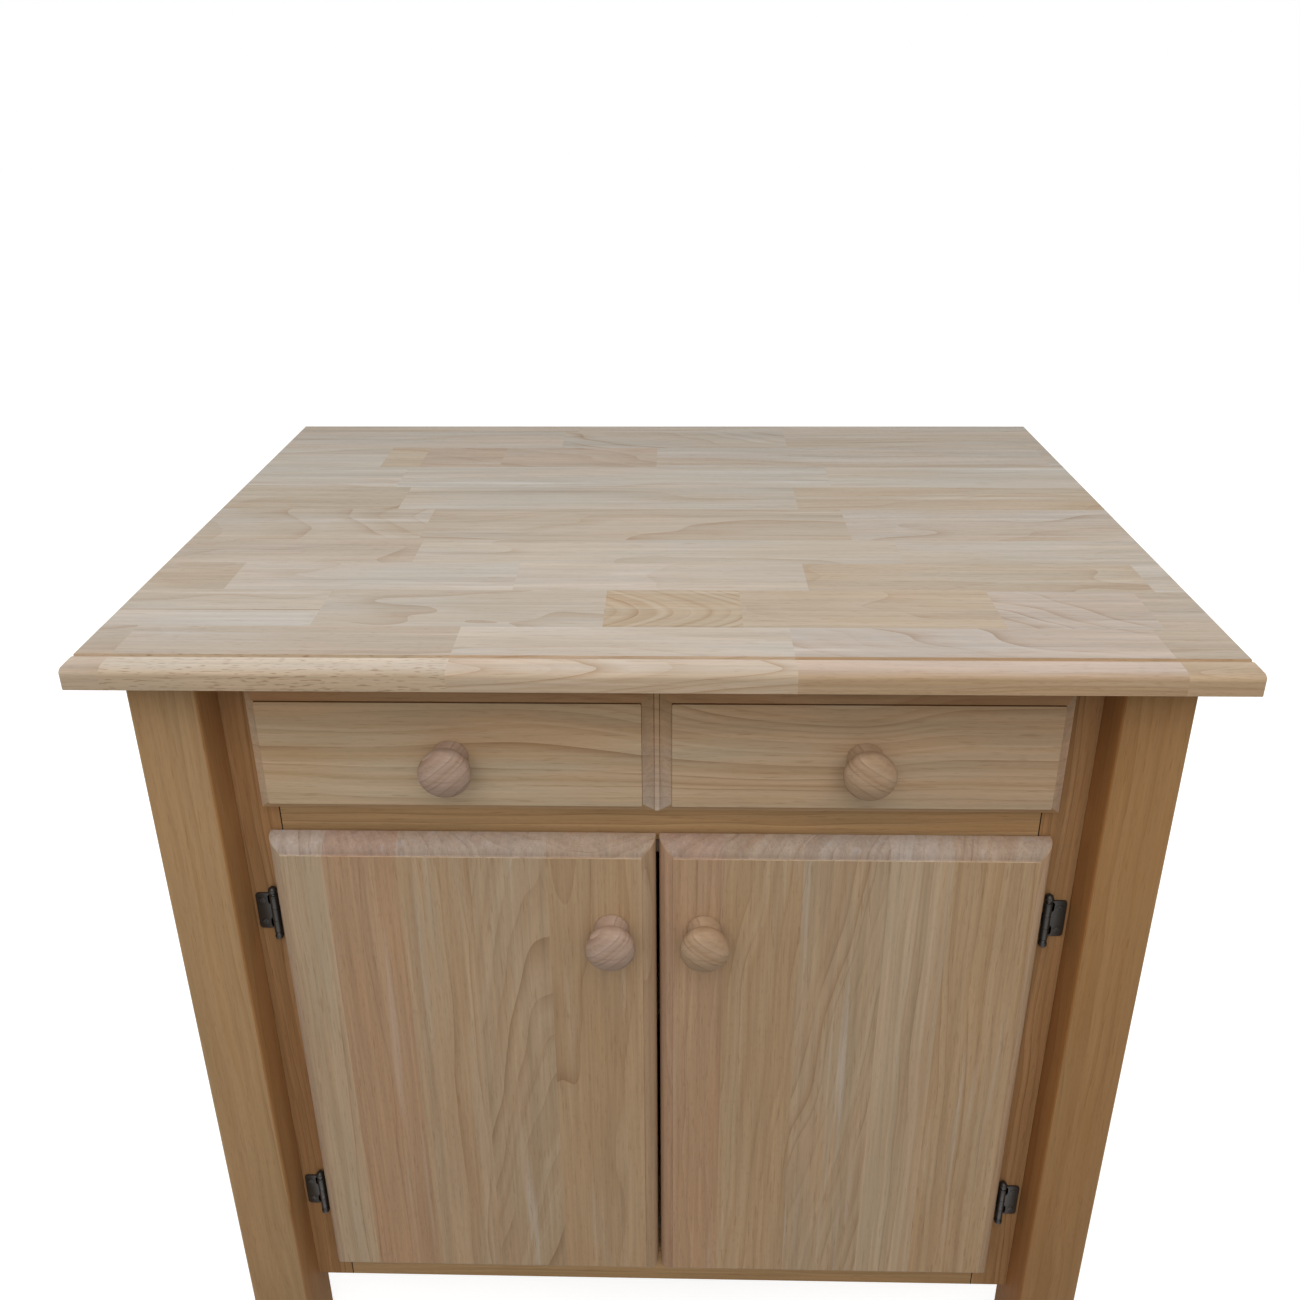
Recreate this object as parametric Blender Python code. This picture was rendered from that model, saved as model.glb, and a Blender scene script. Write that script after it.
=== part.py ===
"""Kitchen island with a full-width drawer over a pair of doors.

Square corner legs carry a worktop with a moulded front edge. A face frame stands between the front legs,
framed panels close the sides and the back, and the drawer is a dovetailed box behind an applied front.
Metres, +Z up. The front looks along -Y, and the origin is on the floor under the middle of the worktop.
"""
import math

import bmesh
import bpy
from mathutils import Vector

# Worktop
HEIGHT = 0.9144
TOP_LENGTH = 0.9144
TOP_DEPTH = 0.5675
TOP_THICKNESS = 0.01905
SIDE_OVERHANG = 0.0254
FRONT_OVERHANG = 0.0373
NOSE_WIDTH = 0.0228
NOSE_ROUND = 0.0046
NOSE_EASE = 0.0020
QUIRK_WIDTH = 0.0046
QUIRK_DEPTH = 0.0022

# Carcass
LEG = 0.05715
STOCK = 0.01905
FRAME_REVEAL = 0.0032
STILE_WIDTH = 0.0381
TOP_RAIL = 0.04445
MIDDLE_RAIL = 0.0508
BOTTOM_RAIL = 0.0508
DRAWER_OPENING = 0.1041
APRON_LIP = 0.0040
CABINET_LIFT = 0.1016
PANEL_THICKNESS = 0.0127
BACK_THICKNESS = 0.0060
FLOOR_THICKNESS = 0.0127
CLEAT = 0.0190
ARRIS = 0.0015

# Joinery
FIT = 0.0003
TONGUE = 0.0060
TONGUE_LENGTH = 0.0075
TENON_LENGTH = 0.0150
TENON_SHOULDER = 0.0080
JOINT_LINE = 0.0006

# Glides under the legs
GLIDE_RADIUS = 0.0125
GLIDE_HEIGHT = 0.0060
GLIDE_NAIL_RADIUS = 0.0015
GLIDE_NAIL_LENGTH = 0.0160

# Shelf
SHELF_THICKNESS = 0.0127
SHELF_HEIGHT = 0.4300
SHELF_FRONT_GAP = 0.0250
SHELF_BACK_GAP = 0.0050
SHELF_END_GAP = 0.0015
PEG_RADIUS = 0.0025
PEG_DEPTH = 0.0090
PEG_REACH = 0.0140
PEG_COLLAR = 0.0015
PEG_COLLAR_RADIUS = 0.0040
PEG_INSET = 0.0600
PEG_HOLES_EACH_WAY = 2
PEG_PITCH = 0.0320

# Drawer
FRONT_THICKNESS = 0.01905
OVERLAY = 0.0095
BOX_STOCK = 0.0127
BOX_BOTTOM = 0.0060
BOX_GROOVE_DEPTH = 0.0060
BOX_GROOVE_RISE = 0.0100
BOX_SIDE_PLAY = 0.0032
BOX_TOP_PLAY = 0.0070
BOX_REAR_GAP = 0.0160
RUNNER_LIFT = 0.0015
RUNNER_THICKNESS = 0.0150
RUNNER_BEARING = 0.0180
RUNNER_GUIDE_HEIGHT = 0.0160
RUNNER_GUIDE_PLAY = 0.0010
TAIL_COUNT = 3
PIN_HALF = 0.0055
TAIL_SLOPE = 1 / 7

# Moulding of the drawer front
FIELD_BORDER = 0.0098
FIELD_STEP = 0.0018
FIELD_DROP = 0.0075
BEAD_WIDTH = 0.0054
BEAD_DROP = 0.0052

# Doors
DOOR_GAP = 0.0030
DOOR_STANDOFF = 0.0025
DOOR_EDGE = 0.0030
DOOR_ROUND_WIDTH = 0.0120
DOOR_QUIRK = 0.0020

# Knobs
KNOB_RADIUS = 0.0220
KNOB_NECK_RADIUS = 0.0145
KNOB_FOOT_RADIUS = 0.0155
KNOB_WIDEST = 0.0245
KNOB_REACH = 0.0352
DOOR_KNOB_DROP = 0.0900
DOOR_KNOB_INSET = 0.0400

# Hinges
BARREL_RADIUS = 0.0036
BARREL_BORE = 0.0021
BARREL_GAP = 0.0005
BARREL_TO_DOOR = 0.0035
PIN_RADIUS = 0.0018
KNUCKLE = 0.0130
KNUCKLE_GAP = 0.0004
LEAF_THICKNESS = 0.0016
LEAF_HEIGHT = 0.0410
WING_WIDTH = 0.0140
DOOR_LEAF_WIDTH = 0.0260
HINGE_INSET = 0.0940
FINIAL_LENGTH = 0.0100
FINIAL_RADIUS = 0.0040

# Magnetic catch
CATCH_LENGTH = 0.0460
CATCH_HEIGHT = 0.0130
CATCH_DEPTH = 0.0170
CATCH_EAR = 0.0090
CATCH_EAR_THICKNESS = 0.0030
STRIKE_LENGTH = 0.0180
STRIKE_HEIGHT = 0.0120
STRIKE_THICKNESS = 0.0012

# Facets of round pieces
KNOB_FACETS = 24
SMALL_FACETS = 12
ARC_STEPS = 7

# Places worked out from the sizes above
TOP_BACK = TOP_DEPTH / 2
UNDERSIDE = HEIGHT - TOP_THICKNESS
LEG_OUT_X = TOP_LENGTH / 2 - SIDE_OVERHANG
LEG_OUT_Y = TOP_DEPTH / 2 - FRONT_OVERHANG
LEG_IN_X = LEG_OUT_X - LEG
LEG_IN_Y = LEG_OUT_Y - LEG
FRAME_IN_X = LEG_IN_X + FRAME_REVEAL
FRAME_IN_Y = LEG_IN_Y + FRAME_REVEAL
FRAME_OUT_X = FRAME_IN_X + STOCK
FRAME_OUT_Y = FRAME_IN_Y + STOCK
CARCASS_TOP = UNDERSIDE - FIT
OPENING_X = LEG_IN_X - STILE_WIDTH
DRAWER_TOP = CARCASS_TOP - TOP_RAIL
DRAWER_SILL = DRAWER_TOP - DRAWER_OPENING
DOOR_HEAD = DRAWER_SILL - MIDDLE_RAIL
DOOR_SILL = CABINET_LIFT + BOTTOM_RAIL
RUNNER_TOP = DRAWER_SILL + RUNNER_LIFT
APRON_LOW = RUNNER_TOP - RUNNER_THICKNESS - APRON_LIP
GROOVE = TONGUE + 2 * FIT
GROOVE_DEPTH = TONGUE_LENGTH + FIT
PANEL_IN_X = FRAME_IN_X + (STOCK - PANEL_THICKNESS) / 2

DOOR_EDGE_X = OPENING_X + OVERLAY
DOOR_TOP = DOOR_HEAD + OVERLAY
DOOR_LOW = DOOR_SILL - OVERLAY
DOOR_BACK_Y = -FRAME_OUT_Y - DOOR_STANDOFF
DOOR_FACE_Y = DOOR_BACK_Y - FRONT_THICKNESS
HINGE_X = DOOR_EDGE_X + BARREL_TO_DOOR + BARREL_RADIUS
HINGE_Y = -FRAME_OUT_Y - FIT - BARREL_RADIUS - FIT

DRAWER_BACK_Y = -FRAME_OUT_Y - FIT
DRAWER_FACE_Y = DRAWER_BACK_Y - FRONT_THICKNESS
BOX_X = OPENING_X - BOX_SIDE_PLAY
BOX_LOW = RUNNER_TOP + FIT
BOX_TOP = DRAWER_TOP - BOX_TOP_PLAY
BOX_FRONT_Y = DRAWER_BACK_Y + FIT
BOX_REAR_Y = FRAME_IN_Y - BOX_REAR_GAP
BOX_GROOVE_LOW = BOX_LOW + BOX_GROOVE_RISE
BOX_GROOVE_TOP = BOX_GROOVE_LOW + BOX_BOTTOM + 2 * FIT

WOOD_TONES = {
    "worktop_wood": (0.520, 0.430, 0.330),
    "leg_wood": (0.460, 0.320, 0.190),
    "frame_wood": (0.420, 0.290, 0.170),
    "front_wood": (0.470, 0.350, 0.230),
    "knob_wood": (0.470, 0.350, 0.250),
    "inside_wood": (0.500, 0.390, 0.270),
}
HINGE_BLACK = (0.020, 0.017, 0.015)
STEEL = (0.560, 0.560, 0.550)
BROWN_PLASTIC = (0.160, 0.100, 0.060)
PALE_PLASTIC = (0.620, 0.600, 0.560)


def clear_scene():
    """Removes what the default file holds."""
    for item in list(bpy.data.objects):
        bpy.data.objects.remove(item, do_unlink=True)


def finish(name, colour, roughness, metallic=0.0):
    """One Principled material."""
    made = bpy.data.materials.new(name)
    made.use_nodes = True
    shader = made.node_tree.nodes["Principled BSDF"]
    shader.inputs["Base Color"].default_value = (*colour, 1.0)
    shader.inputs["Roughness"].default_value = roughness
    shader.inputs["Metallic"].default_value = metallic
    return made


def finishes():
    """Every material of the island, by name."""
    made = {name: finish(name, colour, 0.62) for name, colour in WOOD_TONES.items()}
    made["hinge_black"] = finish("hinge_black", HINGE_BLACK, 0.38, 0.8)
    made["steel"] = finish("steel", STEEL, 0.32, 1.0)
    made["brown_plastic"] = finish("brown_plastic", BROWN_PLASTIC, 0.5)
    made["pale_plastic"] = finish("pale_plastic", PALE_PLASTIC, 0.5)
    return made


def put(axis, u, v, t):
    """A point from its place t along an axis and its two places across it, in X, Y, Z order."""
    if axis == "X":
        return Vector((t, u, v))
    if axis == "Y":
        return Vector((u, t, v))
    return Vector((u, v, t))


def loft(bm, axis, sections):
    """A solid through rectangles (t, u0, u1, v0, v1) along an axis; two at one place make a shoulder."""
    rings = []
    for t, u0, u1, v0, v1 in sections:
        corners = ((u0, v0), (u1, v0), (u1, v1), (u0, v1))
        rings.append([bm.verts.new(put(axis, u, v, t)) for u, v in corners])
    for near, far in zip(rings, rings[1:]):
        for i in range(4):
            j = (i + 1) % 4
            bm.faces.new((near[i], near[j], far[j], far[i]))
    bm.faces.new(rings[0][::-1])
    bm.faces.new(rings[-1])


def block(bm, low, high):
    """A plain block between two corners."""
    loft(bm, "Z", [(z, low[0], high[0], low[1], high[1]) for z in (low[2], high[2])])


def prism(bm, axis, outline, start, end):
    """An outline of (u, v) points carried along an axis."""
    rings = [[bm.verts.new(put(axis, u, v, t)) for u, v in outline] for t in (start, end)]
    count = len(outline)
    for i in range(count):
        j = (i + 1) % count
        bm.faces.new((rings[0][i], rings[0][j], rings[1][j], rings[1][i]))
    bm.faces.new(rings[0][::-1])
    bm.faces.new(rings[1])


def turn(bm, axis, centre, profile, facets):
    """A turned solid: (radius, place) pairs along an axis, closed by a pole at each end of radius 0."""
    rings = []
    for radius, t in profile[1:-1]:
        ring = []
        for i in range(facets):
            angle = 2 * math.pi * i / facets
            across = put(axis, radius * math.cos(angle), radius * math.sin(angle), t)
            ring.append(bm.verts.new(across + centre))
        rings.append(ring)
    ends = [bm.verts.new(put(axis, 0.0, 0.0, profile[i][1]) + centre) for i in (0, -1)]
    for near, far in zip(rings, rings[1:]):
        for i in range(facets):
            j = (i + 1) % facets
            bm.faces.new((near[i], near[j], far[j], far[i]))
    for i in range(facets):
        j = (i + 1) % facets
        bm.faces.new((ends[0], rings[0][j], rings[0][i]))
        bm.faces.new((ends[1], rings[-1][i], rings[-1][j]))


def rod(bm, axis, centre, radius, start, end, facets=SMALL_FACETS):
    """A plain round rod along an axis."""
    turn(bm, axis, centre, [(0.0, start), (radius, start), (radius, end), (0.0, end)], facets)


def arc(depth, drop, steps=ARC_STEPS):
    """Points of a quarter ellipse that leaves level and ends upright, as (along, down)."""
    angles = [math.pi / 2 * i / steps for i in range(steps + 1)]
    return [(depth * math.sin(a), drop * (1 - math.cos(a))) for a in angles]


def add(name, bm, material, pivot=None, smooth=None):
    """Makes a bmesh an object, with its origin on its pivot or at the middle of its box."""
    bmesh.ops.recalc_face_normals(bm, faces=bm.faces)
    if pivot is None:
        low = Vector([min(v.co[i] for v in bm.verts) for i in range(3)])
        high = Vector([max(v.co[i] for v in bm.verts) for i in range(3)])
        origin = (low + high) / 2
    else:
        origin = pivot.location.copy()
    bmesh.ops.translate(bm, verts=bm.verts, vec=-origin)
    mesh = bpy.data.meshes.new(name)
    bm.to_mesh(mesh)
    bm.free()
    made = bpy.data.objects.new(name, mesh)
    bpy.context.collection.objects.link(made)
    if pivot is None:
        made.location = origin
    else:
        made.parent = pivot
    if material:
        mesh.materials.append(material)
    if smooth is not None:
        mesh.shade_smooth()
        mesh.set_sharp_from_angle(angle=math.radians(smooth))
    return made


def axis_empty(name, place):
    """An empty on a joint's axis, which carries what moves there."""
    made = bpy.data.objects.new(name, None)
    made.location = place
    made.empty_display_size = 0.05
    bpy.context.collection.objects.link(made)
    return made


def ease(made, width=ARRIS):
    """Takes the sharp arrises off a wooden piece."""
    bevel = made.modifiers.new("eased arrises", "BEVEL")
    bevel.width = width
    bevel.segments = 1
    bevel.limit_method = "ANGLE"
    bevel.angle_limit = math.radians(40)
    return made


def combine(made, bm, operation):
    """Cuts a helper shape out of a piece, or joins it on."""
    helper = add(made.name + "_" + operation.lower(), bm, None)
    helper.hide_render = True
    helper.display_type = "WIRE"
    boolean = made.modifiers.new(operation.lower(), "BOOLEAN")
    boolean.operation = operation
    boolean.solver = "EXACT"
    boolean.object = helper
    return made


def cut(made, bm):
    """Takes a helper shape out of a piece."""
    return combine(made, bm, "DIFFERENCE")


def worktop(material):
    """The board, with a rounded nose along its front edge, set off by a quirk whose floor rises to the nose."""
    front = -TOP_BACK
    quirk = front + NOSE_WIDTH
    outline = [(TOP_BACK, UNDERSIDE), (TOP_BACK, HEIGHT)]
    outline += [(quirk, HEIGHT), (quirk, HEIGHT - QUIRK_DEPTH), (quirk - QUIRK_WIDTH, HEIGHT)]
    for along, down in arc(NOSE_ROUND, NOSE_ROUND):
        outline.append((front + NOSE_ROUND - along, HEIGHT - down))
    for along, down in arc(NOSE_EASE, NOSE_EASE, 3)[::-1]:
        outline.append((front + NOSE_EASE - along, UNDERSIDE + down))
    bm = bmesh.new()
    prism(bm, "X", outline, -TOP_LENGTH / 2, TOP_LENGTH / 2)
    return ease(add("top_board", bm, material), ARRIS / 2)


def leg(name, side, end, material):
    """A square leg with a groove for the framed side and, at the back, one for the framed back."""
    xs = sorted((side * LEG_IN_X, side * LEG_OUT_X))
    ys = sorted((end * LEG_IN_Y, end * LEG_OUT_Y))
    bm = bmesh.new()
    block(bm, (xs[0], ys[0], GLIDE_HEIGHT), (xs[1], ys[1], CARCASS_TOP))
    made = ease(add(name, bm, material), 2 * ARRIS)
    groove = bmesh.new()
    foot = CABINET_LIFT + TENON_SHOULDER - FIT
    over = CARCASS_TOP + FIT
    middle = side * (FRAME_IN_X + STOCK / 2)
    inner = sorted((end * (LEG_IN_Y - FIT), end * (LEG_IN_Y + GROOVE_DEPTH)))
    block(groove, (middle - GROOVE / 2, inner[0], foot), (middle + GROOVE / 2, inner[1], over))
    if end > 0:
        middle = FRAME_IN_Y + STOCK / 2
        inner = sorted((side * (LEG_IN_X - FIT), side * (LEG_IN_X + GROOVE_DEPTH)))
        second = bmesh.new()
        block(second, (inner[0], middle - GROOVE / 2, foot), (inner[1], middle + GROOVE / 2, over))
        cut(made, second)
    cut(made, groove)
    hole = bmesh.new()
    centre = Vector((side * (LEG_IN_X + LEG / 2), end * (LEG_IN_Y + LEG / 2), 0.0))
    depth = GLIDE_HEIGHT + GLIDE_NAIL_LENGTH + FIT
    rod(hole, "Z", centre, GLIDE_NAIL_RADIUS + FIT, 0.0, depth)
    return cut(made, hole)


def glide(name, side, end, material):
    """A domed glide with the nail that holds it in the leg."""
    centre = Vector((side * (LEG_IN_X + LEG / 2), end * (LEG_IN_Y + LEG / 2), 0.0))
    rim = GLIDE_HEIGHT / 2
    top = GLIDE_HEIGHT - FIT
    profile = [(0.0, 0.0)]
    profile += [(GLIDE_RADIUS - rim + along, down) for along, down in arc(rim, rim, 4)]
    profile += [(GLIDE_RADIUS, top), (GLIDE_NAIL_RADIUS, top)]
    profile += [(GLIDE_NAIL_RADIUS, top + GLIDE_NAIL_LENGTH), (0.0, top + GLIDE_NAIL_LENGTH)]
    bm = bmesh.new()
    turn(bm, "Z", centre, profile, SMALL_FACETS)
    return add(name, bm, material, smooth=40)


def stile(name, side, material):
    """An upright of the face frame, mortised on its inner edge for the three rails."""
    xs = sorted((side * OPENING_X, side * (LEG_IN_X - FIT)))
    bm = bmesh.new()
    block(bm, (xs[0], -FRAME_OUT_Y, CABINET_LIFT), (xs[1], -FRAME_IN_Y, CARCASS_TOP))
    made = add(name, bm, material)
    middle = -FRAME_IN_Y - STOCK / 2
    depth = sorted((side * (OPENING_X - FIT), side * (OPENING_X + TENON_LENGTH + FIT)))
    mortises = bmesh.new()
    for low, high in rail_spans():
        bottom = low + TENON_SHOULDER - FIT
        top = high - TENON_SHOULDER + FIT
        block(mortises, (depth[0], middle - GROOVE / 2, bottom), (depth[1], middle + GROOVE / 2, top))
    return cut(made, mortises)


def rail_spans():
    """Lowest and highest edge of each face-frame rail, from the top down."""
    return ((DRAWER_TOP, CARCASS_TOP), (DOOR_HEAD, DRAWER_SILL), (CABINET_LIFT, DOOR_SILL))


def front_rail(name, span, material):
    """A rail of the face frame with a tenon at each end."""
    low, high = span
    middle = -FRAME_IN_Y - STOCK / 2
    tenon = (middle - TONGUE / 2, middle + TONGUE / 2, low + TENON_SHOULDER, high - TENON_SHOULDER)
    full = (-FRAME_OUT_Y, -FRAME_IN_Y, low, high)
    shoulder = OPENING_X - JOINT_LINE
    end = OPENING_X + TENON_LENGTH
    bm = bmesh.new()
    loft(bm, "X", [(-end, *tenon), (-shoulder, *tenon), (-shoulder, *full),
                   (shoulder, *full), (shoulder, *tenon), (end, *tenon)])
    return add(name, bm, material)


def framed_rail(name, axis, inner, reach, span, groove_up, material):
    """A side or back rail: stub tenons for the legs' grooves and a groove on one edge for the panel."""
    low, high = span
    middle = inner + math.copysign(STOCK / 2, inner)
    across = sorted((inner, inner + math.copysign(STOCK, inner)))
    tenon = (middle - TONGUE / 2, middle + TONGUE / 2, low + TENON_SHOULDER, high - TENON_SHOULDER)
    full = (*across, low, high)
    shoulder = reach - FIT
    end = reach + TONGUE_LENGTH
    places = (-end, -shoulder, -shoulder, shoulder, shoulder, end)
    shapes = (tenon, tenon, full, full, tenon, tenon)
    bm = bmesh.new()
    loft(bm, axis, [(t, *shape) for t, shape in zip(places, shapes)])
    made = add(name, bm, material)
    edge = (high - GROOVE_DEPTH, high + FIT) if groove_up else (low - FIT, low + GROOVE_DEPTH)
    groove = bmesh.new()
    slot = (middle - GROOVE / 2, middle + GROOVE / 2, *edge)
    loft(groove, axis, [(-end - FIT, *slot), (end + FIT, *slot)])
    return cut(made, groove)


def side_panel(name, side, material):
    """A panel tongued into the legs and side rails, drilled inside for the shelf pegs."""
    middle = side * (FRAME_IN_X + STOCK / 2)
    field = (-LEG_IN_Y + FIT, LEG_IN_Y - FIT, DOOR_SILL + FIT, APRON_LOW - FIT)
    tongue = (field[0] - TONGUE_LENGTH, field[1] + TONGUE_LENGTH,
              field[2] - TONGUE_LENGTH, field[3] + TONGUE_LENGTH)
    faces = (-PANEL_THICKNESS / 2, -TONGUE / 2, -TONGUE / 2, TONGUE / 2, TONGUE / 2, PANEL_THICKNESS / 2)
    shapes = (field, field, tongue, tongue, field, field)
    bm = bmesh.new()
    loft(bm, "X", [(middle + t, *shape) for t, shape in zip(faces, shapes)])
    made = add(name, bm, material)
    holes = bmesh.new()
    reach = sorted((side * (PANEL_IN_X - FIT), side * (PANEL_IN_X + PEG_DEPTH + FIT)))
    for end in (-1, 1):
        for step in range(-PEG_HOLES_EACH_WAY, PEG_HOLES_EACH_WAY + 1):
            centre = Vector((0.0, end * (LEG_IN_Y - PEG_INSET), peg_height() + step * PEG_PITCH))
            rod(holes, "X", centre, PEG_RADIUS + FIT, *reach)
    return cut(made, holes)


def peg_height():
    """Height of the pegs' middle, just under the shelf."""
    return SHELF_HEIGHT - FIT - PEG_RADIUS


def back_panel(material):
    """A thin panel held in the grooves of the back legs and rails."""
    middle = FRAME_IN_Y + STOCK / 2
    reach = LEG_IN_X - FIT + TONGUE_LENGTH
    low = DOOR_SILL + FIT - TONGUE_LENGTH
    high = APRON_LOW - FIT + TONGUE_LENGTH
    bm = bmesh.new()
    block(bm, (-reach, middle - BACK_THICKNESS / 2, low), (reach, middle + BACK_THICKNESS / 2, high))
    return add("back_panel", bm, material)


def cabinet_floor(material):
    """The floor board, notched round the four legs."""
    wide = (FRAME_IN_X - FIT, FRAME_IN_Y - FIT)
    notch = (LEG_IN_X - FIT, LEG_IN_Y - FIT)
    quarter = ((wide[0], notch[1]), notch, (notch[0], wide[1]))
    outline = list(quarter)
    outline += [(-x, y) for x, y in quarter[::-1]]
    outline += [(-x, -y) for x, y in quarter]
    outline += [(x, -y) for x, y in quarter[::-1]]
    bm = bmesh.new()
    prism(bm, "Z", outline, DOOR_SILL - FLOOR_THICKNESS, DOOR_SILL)
    return add("cabinet_floor", bm, material)


def floor_cleat(name, side, material):
    """A strip on the lower side rail that carries the floor."""
    xs = sorted((side * (FRAME_IN_X - FIT - CLEAT), side * (FRAME_IN_X - FIT)))
    top = DOOR_SILL - FLOOR_THICKNESS - FIT
    reach = LEG_IN_Y - FIT
    bm = bmesh.new()
    block(bm, (xs[0], -reach, top - CLEAT), (xs[1], reach, top))
    return ease(add(name, bm, material))


def shelf(material):
    """The loose shelf on its four pegs."""
    reach = PANEL_IN_X - SHELF_END_GAP
    front = -LEG_IN_Y + SHELF_FRONT_GAP
    back = LEG_IN_Y - SHELF_BACK_GAP
    bm = bmesh.new()
    block(bm, (-reach, front, SHELF_HEIGHT), (reach, back, SHELF_HEIGHT + SHELF_THICKNESS))
    return ease(add("shelf", bm, material))


def shelf_peg(name, side, end, material):
    """A turned peg with a collar against the panel."""
    wall = side * PANEL_IN_X
    centre = Vector((0.0, end * (LEG_IN_Y - PEG_INSET), peg_height()))
    collar = wall - side * (FIT + PEG_COLLAR)
    tip = wall - side * PEG_REACH
    profile = [(0.0, wall + side * PEG_DEPTH), (PEG_RADIUS, wall + side * PEG_DEPTH)]
    profile += [(PEG_RADIUS, wall - side * FIT), (PEG_COLLAR_RADIUS, wall - side * FIT)]
    profile += [(PEG_COLLAR_RADIUS, collar), (PEG_RADIUS, collar), (PEG_RADIUS, tip), (0.0, tip)]
    bm = bmesh.new()
    turn(bm, "X", centre, profile, SMALL_FACETS)
    made = add(name, bm, material, smooth=40)
    relief = bmesh.new()
    xs = sorted((collar - side * FIT, wall))
    under = SHELF_HEIGHT - FIT
    block(relief, (xs[0], centre.y - 2 * PEG_COLLAR_RADIUS, under),
          (xs[1], centre.y + 2 * PEG_COLLAR_RADIUS, under + 2 * PEG_COLLAR_RADIUS))
    return cut(made, relief)


def drawer_runner(name, side, material):
    """An L-shaped runner on the apron: a bearing under the drawer side and a guide beside it."""
    bearing = BOX_X - RUNNER_BEARING
    guide = BOX_X + RUNNER_GUIDE_PLAY
    outer = FRAME_IN_X - FIT
    top = RUNNER_TOP
    outline = [(bearing, top - RUNNER_THICKNESS), (outer, top - RUNNER_THICKNESS),
               (outer, top + RUNNER_GUIDE_HEIGHT), (guide, top + RUNNER_GUIDE_HEIGHT),
               (guide, top), (bearing, top)]
    bm = bmesh.new()
    prism(bm, "Y", [(side * x, z) for x, z in outline], -LEG_IN_Y + FIT, LEG_IN_Y - FIT)
    return add(name, bm, material)


def tails():
    """Each dovetail of a drawer side: its middle height, half height at the root and at the end."""
    pitch = (BOX_TOP - BOX_LOW) / TAIL_COUNT
    root = pitch / 2 - PIN_HALF
    end = root + BOX_STOCK * TAIL_SLOPE
    return [(BOX_LOW + (i + 0.5) * pitch, root, end) for i in range(TAIL_COUNT)]


def drawer_side(name, side, material, pivot):
    """A drawer side with dovetails at both ends and a groove inside for the bottom."""
    front_root = BOX_FRONT_Y + BOX_STOCK + FIT
    rear_root = BOX_REAR_Y - BOX_STOCK - FIT
    outline = [(front_root, BOX_LOW), (rear_root, BOX_LOW)]
    for middle, root, end in tails():
        outline += [(rear_root, middle - root), (BOX_REAR_Y, middle - end),
                    (BOX_REAR_Y, middle + end), (rear_root, middle + root)]
    outline += [(rear_root, BOX_TOP), (front_root, BOX_TOP)]
    for middle, root, end in tails()[::-1]:
        outline += [(front_root, middle + root), (BOX_FRONT_Y, middle + end),
                    (BOX_FRONT_Y, middle - end), (front_root, middle - root)]
    inner = BOX_X - BOX_STOCK
    bm = bmesh.new()
    prism(bm, "X", outline, side * inner, side * BOX_X)
    made = add(name, bm, material, pivot)
    groove = bmesh.new()
    xs = sorted((side * (inner - FIT), side * (inner + BOX_GROOVE_DEPTH + FIT)))
    block(groove, (xs[0], BOX_FRONT_Y - FIT, BOX_GROOVE_LOW), (xs[1], BOX_REAR_Y + FIT, BOX_GROOVE_TOP))
    return cut(made, groove)


def drawer_end(name, front, material, pivot):
    """The box's front or back board, socketed at both ends for the dovetails."""
    outer = BOX_FRONT_Y if front else BOX_REAR_Y
    inward = 1 if front else -1
    inner = outer + inward * BOX_STOCK
    low = BOX_LOW if front else BOX_GROOVE_TOP
    bm = bmesh.new()
    ys = sorted((outer, inner))
    block(bm, (-BOX_X, ys[0], low), (BOX_X, ys[1], BOX_TOP))
    made = add(name, bm, material, pivot)
    sockets = bmesh.new()
    over = outer - inward * BOX_STOCK
    under = inner + inward * BOX_STOCK
    flare = BOX_STOCK * TAIL_SLOPE
    for side in (-1, 1):
        reach = sorted((side * (BOX_X - BOX_STOCK - FIT), side * (BOX_X + FIT)))
        for middle, root, end in tails():
            wide = end + flare + FIT
            narrow = root - flare + FIT
            outline = [(over, middle - wide), (under, middle - narrow),
                       (under, middle + narrow), (over, middle + wide)]
            prism(sockets, "X", outline, *reach)
    cut(made, sockets)
    if front:
        groove = bmesh.new()
        ys = sorted((inner - inward * (BOX_GROOVE_DEPTH + FIT), inner + inward * FIT))
        block(groove, (-BOX_X - FIT, ys[0], BOX_GROOVE_LOW), (BOX_X + FIT, ys[1], BOX_GROOVE_TOP))
        cut(made, groove)
    return made


def drawer_bottom(material, pivot):
    """The bottom, slid in from behind under the back board."""
    reach = BOX_X - BOX_STOCK + BOX_GROOVE_DEPTH
    front = BOX_FRONT_Y + BOX_STOCK - BOX_GROOVE_DEPTH
    low = BOX_GROOVE_LOW + FIT
    bm = bmesh.new()
    block(bm, (-reach, front, low), (reach, BOX_REAR_Y, low + BOX_BOTTOM))
    return add("drawer_bottom", bm, material, pivot)


def moulding(bm, low_x, high_x, low_z, high_z):
    """The cutter of a raised field: a mitred ring with a step at the field and a slope away from it."""
    outer = FIELD_BORDER + FIT
    section = ((0.0, -FIT), (0.0, FIELD_STEP), (outer, FIELD_DROP), (outer, -FIT))
    rings = []
    for offset, depth in section:
        corners = ((low_x - offset, low_z - offset), (high_x + offset, low_z - offset),
                   (high_x + offset, high_z + offset), (low_x - offset, high_z + offset))
        rings.append([bm.verts.new((x, DRAWER_FACE_Y + depth, z)) for x, z in corners])
    for near, far in zip(rings, rings[1:] + rings[:1]):
        for i in range(4):
            j = (i + 1) % 4
            bm.faces.new((near[i], near[j], far[j], far[i]))


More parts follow.
